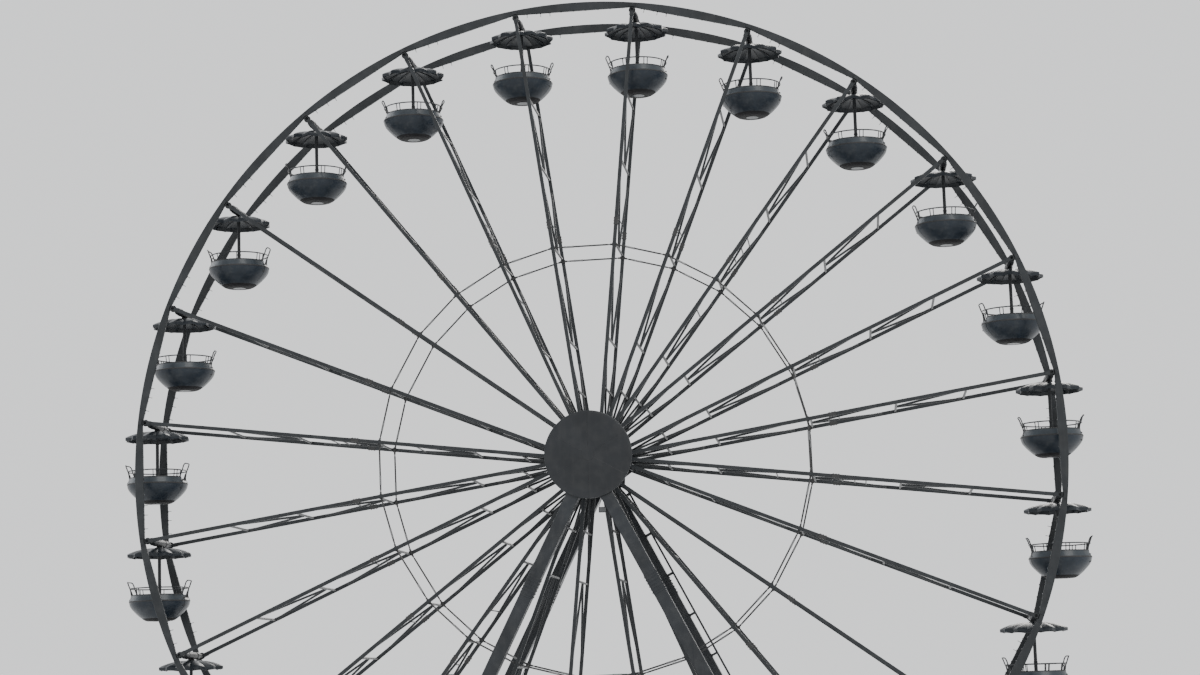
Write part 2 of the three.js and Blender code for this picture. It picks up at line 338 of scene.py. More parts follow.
# hot-dip zinc: flat crystals of different shade, dulled by weather
def zinc(name, bright, metallic=0.85):
    paint = Paint(name, Metallic=metallic, Specular_IOR_Level=0.4)
    crystal = paint.cells(paintSizes["spangle"], output="Color")
    shade = paint.node("ShaderNodeSeparateColor", {}, {0: crystal})
    weather = paint.between(paint.noise(4.0, 5), 0.35, 0.7)
    dull = rgb(0.55 * bright, 0.56 * bright, 0.57 * bright)
    clean = rgb(bright, 1.01 * bright, 1.02 * bright)
    paint.set("Base Color", paint.mix(shade * 0.6 + weather * 0.4, dull, clean))
    paint.set("Roughness", shade * 0.18 + weather * 0.2 + 0.32)
    paint.bump(shade, 0.0003)
    return paint.material


# gel coat on moulded glass fibre: deep gloss, fine scratches and a film of dust
def gelCoat(name, colour, rough, dusty):
    paint = Paint(name, Metallic=0.0, Specular_IOR_Level=0.22, Coat_Weight=0.16, Coat_Roughness=0.14,
                  Coat_IOR=1.35)
    cloud = paint.between(paint.noise(2.4, 4), 0.35, 0.65)
    scratches = paint.between(paint.noise(1.0, 2, paint.stretched(9, 9, 160)), 0.62, 0.72)
    wave = paint.noise(5.0, 2)
    film = paint.between(paint.noise(6.0, 6), 0.45, 0.75) * dusty
    darker = tuple(0.75 * v for v in colour[:3]) + (1.0,)
    paint.set("Base Color", paint.mix(film, paint.mix(cloud, darker, colour), paintSizes["dust"]))
    paint.set("Roughness", scratches * 0.16 + film * 0.5 + cloud * 0.05 + rough)
    paint.bump(wave + scratches * -0.02, 0.004, 0.35)
    return paint.material


# rolled tread plate: short raised bars that cross at right angles
def treadPlate(name, colour):
    paint = Paint(name, Metallic=0.75)
    pitch = paintSizes["treadPitch"]
    bars = []
    for turn in (math.pi / 4, -math.pi / 4):
        turned = paint.node("ShaderNodeMapping", {}, {
            "Vector": paint.here, "Rotation": (0, 0, turn), "Scale": (pitch, pitch * 2, pitch)})
        flat = paint.node("ShaderNodeVectorMath", {"operation": "MULTIPLY"}, {0: turned, 1: (1, 1, 0)})
        cell = paint.node("ShaderNodeVectorMath", {"operation": "FRACTION"}, {0: flat})
        middle = paint.node("ShaderNodeVectorMath", {"operation": "SUBTRACT"}, {0: cell, 1: (0.5, 0.5, 0)})
        reach = paint.node("ShaderNodeVectorMath", {"operation": "MULTIPLY"}, {0: middle, 1: (1, 3, 0)})
        length = paint.node("ShaderNodeVectorMath", {"operation": "LENGTH"}, {0: reach}, "Value")
        bars.append(1 - paint.between(length, 0.26, 0.46))
    raised = bars[0].maths("MAXIMUM", bars[0], bars[1])
    worn = paint.between(paint.noise(2.2, 5), 0.35, 0.7)
    dull = tuple(0.5 * v for v in colour[:3]) + (1.0,)
    paint.set("Base Color", paint.mix(raised * 0.5 + worn * 0.5, dull, colour))
    paint.set("Roughness", worn * 0.2 - raised * 0.12 + 0.45)
    paint.bump(raised, 0.0025)
    return paint.material


def dullRubber(name, gloss=0.5):
    paint = Paint(name, Metallic=0.0, Specular_IOR_Level=gloss)
    grain = paint.noise(140.0, 3)
    scuffs = paint.between(paint.noise(9.0, 5), 0.55, 0.75)
    paint.set("Base Color", paint.mix(scuffs, rgb(0.012, 0.012, 0.013), rgb(0.05, 0.05, 0.05)))
    paint.set("Roughness", grain * 0.15 + scuffs * 0.1 + 0.6)
    paint.bump(grain, 0.0006)
    return paint.material


# an unlit lamp lens: dark, smooth, ribbed inside
def lampLens(name, colour):
    paint = Paint(name, Metallic=0.0, Coat_Weight=1.0, Coat_Roughness=0.04)
    ribs = paint.cells(240.0)
    haze = paint.between(paint.noise(30.0, 3), 0.4, 0.7)
    darker = tuple(0.6 * v for v in colour[:3]) + (1.0,)
    paint.set("Base Color", paint.mix(ribs, darker, colour))
    paint.set("Roughness", haze * 0.2 + 0.18)
    paint.bump(ribs, 0.0008, 0.5)
    return paint.material


# painted shade: the near-black tones below copy the shade of the backlit silhouette, not a known colour of
# the paint or gel coat
wheelPaint = satinPaint("wheel paint", rgb(0.016, 0.019, 0.022), 0.42, 0.05, 1.0)
towerPaint = satinPaint("tower paint", rgb(0.016, 0.019, 0.023), 0.40, 0.07, 0.8)
basePaint = satinPaint("base paint", rgb(0.030, 0.033, 0.036), 0.46, 0.30, 1.6)
coverPaint = satinPaint("cover paint", rgb(0.013, 0.015, 0.018), 0.34, 0.04, 0.2)
cabinSteel = satinPaint("cabin steel paint", rgb(0.014, 0.016, 0.019), 0.42, 0.04, 0.7)
shellCoat = gelCoat("tub gel coat", rgb(0.013, 0.019, 0.027), 0.34, 0.08)
linerCoat = gelCoat("tub liner gel coat", rgb(0.050, 0.056, 0.064), 0.34, 0.16)
bandCoat = gelCoat("tub band gel coat", rgb(0.030, 0.038, 0.046), 0.34, 0.10)
canopyCoat = gelCoat("canopy gel coat", rgb(0.012, 0.016, 0.021), 0.36, 0.12)
seatVinyl = dullRubber("moulded seat")
# painted shade: a dark, low-gloss coat for the tub underside, darker than the shell
underShadeCoat = dullRubber("tub undercoat as painted shade", 0.12)
rubber = dullRubber("black rubber")
galvanised = zinc("galvanised steel", 0.24)
# painted shade: this zinc is kept very dark to match the backlit silhouette; its noise adds weathering
rodSteel = zinc("weathered rod steel darkened as painted shade", 0.045, 0.3)
floorPlate = treadPlate("tread plate", rgb(0.42, 0.43, 0.44))
lens = lampLens("lamp lens", rgb(0.05, 0.055, 0.06))
clearLens = lampLens("floodlight glass", rgb(0.035, 0.038, 0.042))
print("materials made")


# Spokes
# places along a spoke are distances from the axle; each brace runs from a rung to a place on the rails
spokeSizes = {
    "perGroup": 4, "focus": 0.474, "root": 1.00, "width": 0.12, "corner": 0.011, "tubeRadius": 0.06,
    "pastPivot": 0.088, "rootPlate": 0.215, "rootPlateHalf": 0.055, "rootPlateThick": 0.014,
    "rootRung": 0.07, "rungs": (2.44, 4.11, 7.30, 10.14, 12.46), "rungWidth": 0.055, "rungHeight": 0.07,
    "braces": ((4.11, 6.70), (7.30, 9.70), (10.14, 12.42)), "firstBraceEnd": 3.60, "braceRod": 0.038,
    "braceGap": 0.05, "braceBolt": 0.026, "lugReach": 0.11,
    "crossPieces": (7.88, 8.23), "barredPlace": 2, "barredPieces": (8.63, 9.00), "barredRung": 6.05,
    "thinBar": 0.024, "clamp": 8.02, "clampReach": 0.13, "clampLip": 0.009,
    "lampPitch": 0.35, "lampFirst": 1.75, "lampLast": 14.7, "lampStem": 0.13, "lampRadius": 0.042,
}


def spokeLine(index):
    group = index - index % spokeSizes["perGroup"]
    middle = (pivots[group] + pivots[group + spokeSizes["perGroup"] - 1] - hub * 2).normalized()
    focus = middle * spokeSizes["focus"]
    run = pivots[index] - hub - focus
    heading = math.atan2(run.x, run.z)
    lean = heading - math.atan2(middle.x, middle.z)
    place = Matrix.Translation(hub + focus) @ Matrix.Rotation(heading, 4, "Y")
    return {"place": place, "length": run.length, "lean": lean, "heading": heading, "focus": focus}


# where a spoke's line is at the given distance from the axle
def onSpoke(line, radius, y):
    along = Vector((math.sin(line["heading"]), 0, math.cos(line["heading"])))
    b = line["focus"].dot(along)
    distance = -b + math.sqrt(b * b - line["focus"].length_squared + radius * radius)
    return hub + line["focus"] + along * distance + Vector((0, y, 0))


# a plate with bolts at its corners, on a face that looks along the given side of Y
def boltedPlate(shape, middle, halfX, halfZ, side, thick, bolt, rows=2):
    y0, y1 = sorted((middle.y, middle.y + side * thick))
    shape.block((middle.x - halfX, y0, middle.z - halfZ), (middle.x + halfX, y1, middle.z + halfZ))
    for row in range(rows):
        z = middle.z + halfZ * (0.72 - 1.44 * row / (rows - 1))
        for x in (-0.62, 0.62):
            foot = Vector((middle.x + x * halfX, middle.y + side * thick, z))
            shape.bolt(foot, (0, side, 0), bolt)


# the third spoke of each group has a few more thin bars than the others
def spokeShape(line, barred):
    shape = Shape()
    sizes = spokeSizes
    focus = sizes["focus"]
    root = (sizes["root"] - focus) / math.cos(line["lean"]) - 0.02
    rootRung = root + sizes["rootRung"]
    for side in (-1, 1):
        y = side * railY
        shape.beam((0, y, root), (0, y, line["length"] + sizes["pastPivot"]), (1, 0, 0), sizes["width"],
                   outerFace - innerFace, sizes["corner"])
        for face, way in ((outerFace, side), (innerFace, -side)):
            boltedPlate(shape, Vector((0, side * face, root + 0.115)), sizes["rootPlateHalf"],
                        sizes["rootPlate"], way, sizes["rootPlateThick"], 0.034, 4)
    addRung(shape, rootRung)
    for radius in sizes["rungs"]:
        addRung(shape, radius - focus)
        for side in (-1, 1):
            boltedPlate(shape, Vector((0, side * innerFace, radius - focus)), 0.052, 0.085, -side, 0.012,
                        0.022)
    if barred:
        thin = sizes["barredRung"] - focus
        shape.rod((0, -innerFace, thin), (0, innerFace, thin), sizes["thinBar"], 8)
    for radius, top in ((rootRung + focus, sizes["firstBraceEnd"]), *sizes["braces"]):
        addBrace(shape, radius - focus, top - focus)
    crossRoot, crossEnd = sizes["braces"][1]
    for radius in sizes["crossPieces"] + (sizes["barredPieces"] if barred else ()):
        share = (radius - crossRoot) / (crossEnd - crossRoot)
        reach = innerFace * share + 0.1
        shape.beam((0, -reach, radius - focus), (0, reach, radius - focus), (1, 0, 0), 0.03, 0.04, 0.005)
    addCrossTube(shape, line["length"])
    addClamps(shape, sizes["clamp"] - focus)
    addSpokeLamps(shape, sizes["clamp"] - focus)
    return shape


def addRung(shape, z):
    shape.beam((0, -innerFace, z), (0, innerFace, z), (1, 0, 0), spokeSizes["rungWidth"],
               spokeSizes["rungHeight"], 0.007)


# two rods that spread from the middle of a rung to the rails, with their gussets and bolts
def addBrace(shape, low, high):
    sizes = spokeSizes
    shape.plate([(-0.19, low + 0.02), (0.19, low + 0.02), (0.1, low + 0.2), (-0.1, low + 0.2)],
                -0.007, 0.007, 0)
    for side in (-1, 1):
        shape.rod((0, side * sizes["braceGap"], low + 0.04), (0, side * (innerFace - 0.03), high),
                  sizes["braceRod"], 8)
        lug = [(side * innerFace, high - 0.12), (side * (innerFace - sizes["lugReach"]), high - 0.08),
               (side * (innerFace - 0.05), high + 0.06), (side * innerFace, high + 0.06)]
        shape.plate(lug, -0.01, 0.01, 0)
        shape.bolt((0.007, side * 0.1, low + 0.13), (1, 0, 0), sizes["braceBolt"])
        shape.bolt((0.01, side * (innerFace - 0.05), high - 0.02), (1, 0, 0), sizes["braceBolt"])


def addClamps(shape, z):
    sizes = spokeSizes
    shape.paint = 1
    lip = sizes["clampLip"]
    half = sizes["width"] / 2 + lip
    for side in (-1, 1):
        y0, y1 = sorted((side * (innerFace - lip), side * (outerFace + lip)))
        shape.block((-half, y0, z - sizes["clampReach"]), (half, y1, z + sizes["clampReach"]), 0.004)
        for lift in (-0.09, 0.0, 0.09):
            for face in (-1, 1):
                shape.bolt((face * half, side * railY, z + lift), (face, 0, 0), 0.03)


# lamps on stems along the front rail, with none at the clamp
def addSpokeLamps(shape, clamp):
    sizes = spokeSizes
    count = int((sizes["lampLast"] - sizes["lampFirst"]) / sizes["lampPitch"])
    for i in range(count + 1):
        z = sizes["lampFirst"] + i * sizes["lampPitch"] - sizes["focus"]
        if abs(z - clamp) < 0.2:
            continue
        foot = Vector((0, -innerFace, z))
        tip = foot + Vector((0, sizes["lampStem"], 0))
        shape.paint = 0
        shape.rod(foot, tip, 0.012, 5)
        shape.rod(tip - Vector((0, 0.02, 0)), tip, 0.036, 8)
        shape.paint = 2
        shape.dome(tip, (0, 1, 0), sizes["lampRadius"], 0.05)


# the tube between the rails that a cabin hangs on, with collars beside the cabin's sleeve
def addCrossTube(shape, height):
    kept = shape.place
    shape.place = Matrix.Translation((0, 0, height)) @ Matrix.Rotation(-math.pi / 2, 4, "X")
    tube = spokeSizes["tubeRadius"]
    shape.lathe([(tube, -innerFace), (tube, innerFace)], 24)
    for side in (-1, 1):
        for low, high, radius in ((0.962, 0.985, 0.078), (innerFace - 0.02, innerFace, 0.115),
                                  (outerFace, outerFace + 0.012, 0.055)):
            z0, z1 = sorted((side * low, side * high))
            shape.lathe([(radius - 0.004, z0), (radius, z0 + 0.004), (radius, z1 - 0.004),
                         (radius - 0.004, z1)], 20)
    shape.place = kept


def makeSpokes():
    paints = [wheelPaint, rodSteel, lens]
    meshes = []
    for i in range(cabinCount):
        line = spokeLine(i)
        name = "spokeFrame%02d" % (i + 1)
        if i < spokeSizes["perGroup"]:
            piece = spokeShape(line, i == spokeSizes["barredPlace"]).piece(name, paints)
            piece.matrix_world = line["place"]
            meshes.append(piece.data)
        else:
            piece = placed(name, meshes[i % spokeSizes["perGroup"]], line["place"])
        settle(piece, "wheel", "wheel_steel", "spoke_%02d" % (i + 1))


makeSpokes()
print("spokes made")


# Rims
rimSizes = {
    "stepsPerBay": 12, "nodeDepth": 0.16, "corner": 0.010, "lampPitch": 0.42, "lampReach": 1.75,
    "pins": (0.42, 0.88, 1.20), "pinLength": 0.12, "plateLength": 0.34, "plateHeight": 0.13,
    "plateThick": 0.012, "lampRadius": 0.025,
}


def makeRim(name, node, side):
    shape = Shape()
    sizes = rimSizes
    bay = 2 * math.pi / cabinCount
    first = math.atan2(pivots[0].x - hub.x, pivots[0].z - hub.z)
    inner = (rimRadius - sizes["nodeDepth"]) * math.cos(bay / 2)
    e = sizes["corner"]
    y0, y1 = sorted((side * innerFace, side * outerFace))
    rings = []
    for i in range(cabinCount * sizes["stepsPerBay"]):
        angle = first + i * bay / sizes["stepsPerBay"]
        off = (i % sizes["stepsPerBay"]) / sizes["stepsPerBay"] * bay - bay / 2
        low = inner / math.cos(off)
        section = [(low + e, y0), (rimRadius - e, y0), (rimRadius, y0 + e), (rimRadius, y1 - e),
                   (rimRadius - e, y1), (low + e, y1), (low, y1 - e), (low, y0 + e)]
        rings.append([onWheel(angle, radius, y) for radius, y in section])
    shape.skin(rings, loop=True)
    for i in range(cabinCount):
        corner = first + i * bay
        shape.place = Matrix.Translation(hub) @ Matrix.Rotation(corner, 4, "Y")
        shape.paint = 0
        face = Vector((0, side * outerFace, rimRadius - sizes["nodeDepth"] / 2 - 0.02))
        boltedPlate(shape, face, sizes["plateLength"] / 2, sizes["plateHeight"] / 2, side,
                    sizes["plateThick"], 0.03, 3)
        boltedPlate(shape, face - Vector((0, 0, 0.2)), 0.07, 0.16, side, sizes["plateThick"], 0.028, 3)
        # the inner edge of the bay that starts at this corner
        shape.place = Matrix.Translation(hub) @ Matrix.Rotation(corner + bay / 2, 4, "Y")
        y = side * railY
        for along in sizes["pins"]:
            x = along - inner * math.tan(bay / 2)
            shape.rod((x, y, inner + 0.01), (x, y, inner - sizes["pinLength"]), 0.009, 6)
            shape.rod((x, y, inner - 0.012), (x, y, inner + 0.004), 0.024, 8)
        count = int(sizes["lampReach"] * 2 / sizes["lampPitch"])
        for j in range(count + 1):
            x = (j - count / 2) * sizes["lampPitch"]
            shape.paint = 0
            shape.rod((x, y, inner + 0.004), (x, y, inner - 0.006), 0.030, 8)
            shape.paint = 1
            shape.dome((x, y, inner - 0.006), (0, 0, -1), sizes["lampRadius"], 0.014)
    settle(shape.piece(name, [wheelPaint, lens]), "wheel", "wheel_steel", node)


# Tie rods from spoke to spoke, each with a fork and a tapered neck at both ends and a turnbuckle
tieSizes = {
    "radius": 7.2, "rod": 0.028, "neck": 0.014, "taper": 0.11, "fork": 0.16, "forkWidth": 0.06,
    "sleeve": 0.034, "sleevePlace": 0.42, "sleeveLength": 0.24, "nut": 0.037, "nutLength": 0.035,
    "seat": 0.024, "seatBolt": 0.034,
}


def makeTieRods(name, node, side):
    shape = Shape()
    sizes = tieSizes
    y = side * (innerFace - sizes["seat"])
    ends = [onSpoke(spokeLine(i), sizes["radius"], y) for i in range(cabinCount)]
    for i, start in enumerate(ends):
        end = ends[(i + 1) % cabinCount]
        along = (end - start).normalized()
        shape.paint = 0
        neck = sizes["fork"] - 0.02
        for point, way in ((start, along), (end, -along)):
            shape.beam(point + way * 0.03, point + way * sizes["fork"], (0, 1, 0), 0.022,
                       sizes["forkWidth"], 0.004)
            shape.rod(point + way * neck, point + way * (neck + sizes["taper"]), sizes["neck"], 10,
                      sizes["rod"])
        reach = along * (neck + sizes["taper"])
        shape.rod(start + reach, end - reach, sizes["rod"], 10)
        shape.paint = 1
        sleeve = start + along * sizes["sleevePlace"]
        sleeveEnd = sizes["sleeveLength"]
        shape.rod(sleeve, sleeve + along * sleeveEnd, sizes["sleeve"], 8)
        shape.rod(sleeve - along * sizes["nutLength"], sleeve, sizes["nut"], 6)
        shape.rod(sleeve + along * sleeveEnd, sleeve + along * (sleeveEnd + sizes["nutLength"]),
                  sizes["nut"], 6)
        shape.paint = 0
        shape.place = Matrix.Translation(start) @ Matrix.Rotation(spokeLine(i)["heading"], 4, "Y")
        shape.block((-0.085, -0.012, -0.05), (0.085, 0.012, 0.05), 0.003)
        for x in (-0.055, 0.055):
            shape.bolt((x, -side * 0.012, 0), (0, -side, 0), sizes["seatBolt"])
        shape.place = Matrix()
    settle(shape.piece(name, [rodSteel, galvanised]), "wheel", "rod_steel", node)


makeRim("rimFrontRing", "rim_front", -1)
makeRim("rimRearRing", "rim_rear", 1)
makeTieRods("tieRodRingFront", "tie_rods_front", -1)
makeTieRods("tieRodRingRear", "tie_rods_rear", 1)
print("rims and tie rods made")


# Hub
hubSizes = {
    "apothem": 1.00, "flat": 0.30, "notch": 0.90, "drum": 0.45, "shaft": 0.25, "ribs": 12,
    "ribReach": 0.80, "ribLength": 0.55,
    "boltCircle": 0.62, "bolts": 18, "bolt": 0.046, "bossRadius": 0.54, "boss": 0.035,
    "bands": (-0.7, 0.0, 0.7), "band": 0.022,
}


def makeHub():
    shape = Shape()
    sizes = hubSizes
    groups = cabinCount // spokeSizes["perGroup"]
    step = 2 * math.pi / cabinCount
    first = math.atan2(pivots[0].x - hub.x, pivots[0].z - hub.z) + (spokeSizes["perGroup"] - 1) / 2 * step
    corner = math.hypot(sizes["flat"], sizes["apothem"])
    spread = math.atan2(sizes["flat"], sizes["apothem"])
    flange = []
    for middle in turns(groups, first):
        for reach, a in ((corner, middle - spread), (corner, middle + spread),
                         (sizes["notch"], middle + math.pi / groups)):
            flange.append((reach * math.sin(a), reach * math.cos(a)))
    shape.place = Matrix.Translation(hub)
    for side in (-1, 1):
        shape.plate(flange, *sorted((side * innerFace, side * outerFace)))
    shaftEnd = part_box("hub_drum")[1].y
    shape.place = Matrix.Translation(hub) @ Matrix.Rotation(-math.pi / 2, 4, "X")
    shape.lathe([(sizes["drum"], -innerFace), (sizes["drum"], innerFace)], 64)
    shape.lathe([(sizes["shaft"], -shaftEnd), (sizes["shaft"], shaftEnd)], 64)
    for z in sizes["bands"]:
        r = sizes["drum"]
        band = r + sizes["band"]
        shape.lathe([(r, z - 0.03), (band, z - 0.026), (band, z + 0.026), (r, z + 0.03)], 64)
    for side in (-1, 1):
        face = side * outerFace
        ring = [(sizes["bossRadius"], 0), (sizes["bossRadius"], sizes["boss"] - 0.008),
                (sizes["bossRadius"] - 0.008, sizes["boss"]), (sizes["shaft"], sizes["boss"])]
        shape.lathe([(r, face + side * z) for r, z in ring][::side], 64)
        for a in turns(sizes["bolts"]):
            shape.bolt(radial(a, sizes["boltCircle"], face), (0, 0, side), sizes["bolt"])
        for a in turns(sizes["ribs"], math.pi / sizes["ribs"]):
            shape.place = (Matrix.Translation(hub) @ Matrix.Rotation(-math.pi / 2, 4, "X")
                           @ Matrix.Rotation(a, 4, "Z"))
            inside = side * innerFace
            shape.plate([(sizes["drum"] - 0.02, inside), (sizes["ribReach"], inside),
                         (sizes["ribReach"], inside - side * 0.06),
                         (sizes["drum"] - 0.02, inside - side * sizes["ribLength"])], -0.01, 0.01)
        shape.place = Matrix.Translation(hub) @ Matrix.Rotation(-math.pi / 2, 4, "X")
    settle(shape.piece("hubDrum", [wheelPaint]), "wheel", "wheel_steel", "hub_drum")


# Round covers over the tower heads: a rolled edge, a shallow dish with faint seams, small fasteners
coverSizes = {"sides": 96, "roll": 0.018, "seams": 6, "fasteners": 36, "cap": 0.20}


def makeCover(name, node, side):
    shape = Shape()
    low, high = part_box(node)
    radius = high.x
    thick = high.y - low.y
    edge = thick * 0.48
    back = low.y if side > 0 else high.y
    turned = Matrix.Rotation(-side * math.pi / 2, 4, "X")
    shape.place = Matrix.Translation((hub.x, back, hub.z)) @ turned
    roll = coverSizes["roll"]
    profile = [(radius - 0.004, 0.0), (radius, 0.004), (radius, edge - roll)]
    for i in range(1, 7):
        a = i / 6 * math.radians(72)
        profile.append((radius - roll + roll * math.cos(a), edge - roll + roll * math.sin(a)))
    dish = 12
    for i in range(1, dish):
        share = i / dish
        r = (radius - roll) * (1 - share) + coverSizes["cap"] * share
        profile.append((r, edge + (thick - 0.012 - edge) * (1 - (1 - share) ** 1.8)))
    cap = coverSizes["cap"]
    profile += [(cap + 0.004, thick - 0.012), (cap, thick - 0.012), (cap, thick - 0.003),
                (cap - 0.003, thick), (0.06, thick)]
    shape.lathe(profile, coverSizes["sides"])
    for a in turns(coverSizes["fasteners"]):
        shape.dome(radial(a, radius - 0.06, edge + 0.006), (0, 0, 1), 0.014, 0.008)
    for a in turns(coverSizes["seams"], math.pi / 6):
        path = []
        for i in range(9):
            share = 0.06 + 0.9 * i / 8
            r = (radius - roll) * (1 - share) + cap * share
            path.append(radial(a, r, edge + (thick - 0.012 - edge) * (1 - (1 - share) ** 1.8)))
        shape.tube(path, 0.005, 6)
    settle(shape.piece(name, [coverPaint]), "stand", "cover_paint", node)


makeHub()
makeCover("hubCoverFront", "hub_cover_front", -1)
makeCover("hubCoverRear", "hub_cover_rear", 1)
print("hub made")


# Cabins
# angles are degrees from the middle of a door, heights go down from the pivot, turns are those of the tubs
cabinSizes = {
    "turns": (11, 7, 0, 4, 9, 0, 0, 6, 1, 10, 5, 12, 3, 8, 14, 4, 9, 0, 0, 12, 2, 14, 11, 6),
    "canopyTurn": 13, "doorHalf": 20.0, "doorFrom": 15, "doorBlend": 4, "grooves": (0.3427, 0.3562),
    "seam": 0.006, "rimDip": 0.10,
    "railHeight": -1.53, "railRadius": 0.985, "railFoot": 0.942, "railTube": 0.021, "pairs": (57, 101, 145),
    "pairGap": 3.6, "baluster": 0.015, "loopTop": -1.30, "loopHalf": 17.0,
    "loopLine": ((-1.89, 0.893), (-1.78, 0.893), (-1.66, 0.935), (-1.53, 0.992), (-1.30, 1.072)),
    "petals": 12, "petalSteps": 8, "notch": 0.985, "tip": 1.10, "tipHeight": -0.40, "crown": 0.235,
}
doorColumns = (0, 5, 10, 15, 16.4, 17.8, 19, 19.7, 19.9, 20.3, 20.5, 24, 31, 39, 47, 56, 65, 74, 82, 90)


# each row: radius and height beside a seat, radius and height at a door, and the paint up to the next row
def tubRows():
    shell, seat, floor, band, liner, edge, under = range(7)
    dip = cabinSizes["rimDip"]
    # the lowest rows take a dark, nearly gloss-free coat: painted shade under the tub
    rows = [(r, z, r, z, under) for r, z in (
        (0.21, -2.65), (0.225, -2.636), (0.43, -2.635), (0.49, -2.615), (0.545, -2.585))]
    rows += [(r, z, r, z, shell) for r, z in (
        (0.60, -2.545), (0.68, -2.485), (0.76, -2.41), (0.85, -2.32), (0.92, -2.24), (0.970, -2.17),
        (1.002, -2.105), (1.018, -2.04))]
    rows += [(1.024, -1.998, 1.024, -1.998, edge), (1.033, -1.988, 1.033, -1.988, edge),
             (1.033, -1.965, 1.033, -1.965, edge), (1.023, -1.952, 1.023, -1.952, band)]
    rows += [(r, z, r, z - dip * share, paint) for r, z, share, paint in (
        (1.017, -1.935, 0.0, band), (0.996, -1.88, 0.3, band), (0.973, -1.82, 0.7, band),
        (0.958, -1.778, 1.0, edge), (0.966, -1.766, 1.0, edge), (0.962, -1.752, 1.0, edge),
        (0.945, -1.746, 1.0, edge), (0.928, -1.75, 1.0, edge), (0.922, -1.764, 1.0, liner),
        (0.921, -1.80, 1.0, liner), (0.926, -1.87, 0.5, liner), (0.932, -1.95, 0.1, liner))]
    rows += [(0.918, -2.03, 0.895, -2.08, liner), (0.893, -2.125, 0.845, -2.21, liner),
             (0.884, -2.152, 0.79, -2.31, liner), (0.866, -2.166, 0.75, -2.375, seat),
             (0.80, -2.172, 0.71, -2.385, seat), (0.70, -2.164, 0.66, -2.387, seat),
             (0.61, -2.162, 0.60, -2.387, seat), (0.578, -2.168, 0.575, -2.39, seat),
             (0.560, -2.182, 0.560, -2.398, seat), (0.553, -2.205, 0.553, -2.41, liner),
             (0.545, -2.26, 0.545, -2.44, liner), (0.515, -2.50, 0.515, -2.50, liner),
             (0.504, -2.565, 0.504, -2.565, liner), (0.492, -2.585, 0.492, -2.585, liner),
             (0.47, -2.59, 0.47, -2.59, floor), (0.14, -2.59, 0.14, -2.59, floor)]
    return rows


def tubShape():
    shape = Shape()
    quarter = [math.radians(a) for a in doorColumns]
    half = quarter + [math.pi - a for a in reversed(quarter[:-1])]
    angles = half + [a + math.pi for a in half[1:-1]]
    sizes = cabinSizes
    low, high = sizes["grooves"]
    rows = tubRows()
    grooved = range(7, 21)
    rings = []
    for number, row in enumerate(rows):
        r, z, doorR, doorZ = row[:4]
        ring = []
        for a in angles:
            off = min(a % math.pi, math.pi - a % math.pi)
            door = 1 - min(max((math.degrees(off) - sizes["doorFrom"]) / sizes["doorBlend"], 0), 1)
            door = door * door * (3 - 2 * door)
            seam = number in grooved and low < off < high
            radius = r + (doorR - r) * door - (sizes["seam"] if seam else 0)
            ring.append(radial(a, radius, z + (doorZ - z) * door))
        rings.append(ring)
    shape.skin(rings, rowPaints=[row[4] for row in rows[:-1]])
    shape.paints[-1] = 2
    # low ribs across the moulded bench
    for a in (a for a in range(30, 360, 30) if a != 180):
        angle = math.radians(a)
        rib = ((0.60, -2.159), (0.70, -2.161), (0.80, -2.169), (0.85, -2.165))
        path = [radial(angle, r, z) for r, z in rib]
        shape.paint = 1
        shape.tube(path, 0.009, 6)
    # hinges and a keep plate on each door
    shape.paint = 5
    for middle in (0, math.pi):
        for side, heights in ((-1, (-1.89, -2.14)), (1, (-1.92,))):
            for z in heights:
                angle = middle + side * math.radians(20.1)
                radius = 0.992 if z > -1.95 else 0.976
                turn = Matrix.Rotation(angle, 4, "Z")
                shape.place = turn
                shape.block((radius, -0.045, z - 0.018), (radius + 0.028, 0.045, z + 0.018), 0.005)
        shape.place = Matrix()
    return shape


# a shallow parasol of arched petals with a turned-down edge
def canopyShape():
    shape = Shape()
    sizes = cabinSizes
    count = sizes["petals"] * sizes["petalSteps"]
    inner = 0.12
    topSteps = (1.0, 0.93, 0.84, 0.70, 0.52, 0.32, inner)
    underSteps = (inner, 0.35, 0.60, 0.80, 0.95)

    def across(i):
        return abs(2 * (i % sizes["petalSteps"]) / sizes["petalSteps"] - 1)

    def reach(i):
        return sizes["notch"] + (sizes["tip"] - sizes["notch"]) * (1 - across(i)) ** 1.15

    def height(i, share):
        arch = 0.03 * share * (1 - across(i) ** 2)
        return sizes["tipHeight"] + sizes["crown"] * (1 - share ** 2.4) + arch

    def ring(share, drop, pull=0.0):
        return [radial(a, reach(i) * share - pull, height(i, share) - drop)
                for i, a in enumerate(turns(count, math.radians(sizes["canopyTurn"])))]

    rings = [ring(share, 0.02) for share in underSteps]
    rings += [ring(1.0, 0.05, 0.03), ring(1.0, 0.10, 0.022), ring(1.0, 0.108, 0.012), ring(1.0, 0.10, 0.004)]
    rings += [ring(1.0, 0.02, 0.0), ring(1.0, 0.006, 0.004)]
    rings += [ring(share, 0.0, 0.008 if share == 1.0 else 0.0) for share in topSteps]
    shape.skin(rings)
    shape.paint = 1
    for i in range(sizes["petals"]):
        step = i * sizes["petalSteps"]
        angle = 2 * math.pi * i / sizes["petals"] + math.radians(sizes["canopyTurn"])
        path = [radial(angle, reach(step) * share, height(step, share) - 0.028)
                for share in (0.08, 0.3, 0.55, 0.8, 0.95)]
        shape.tube(path, 0.010, 6)
    return shape


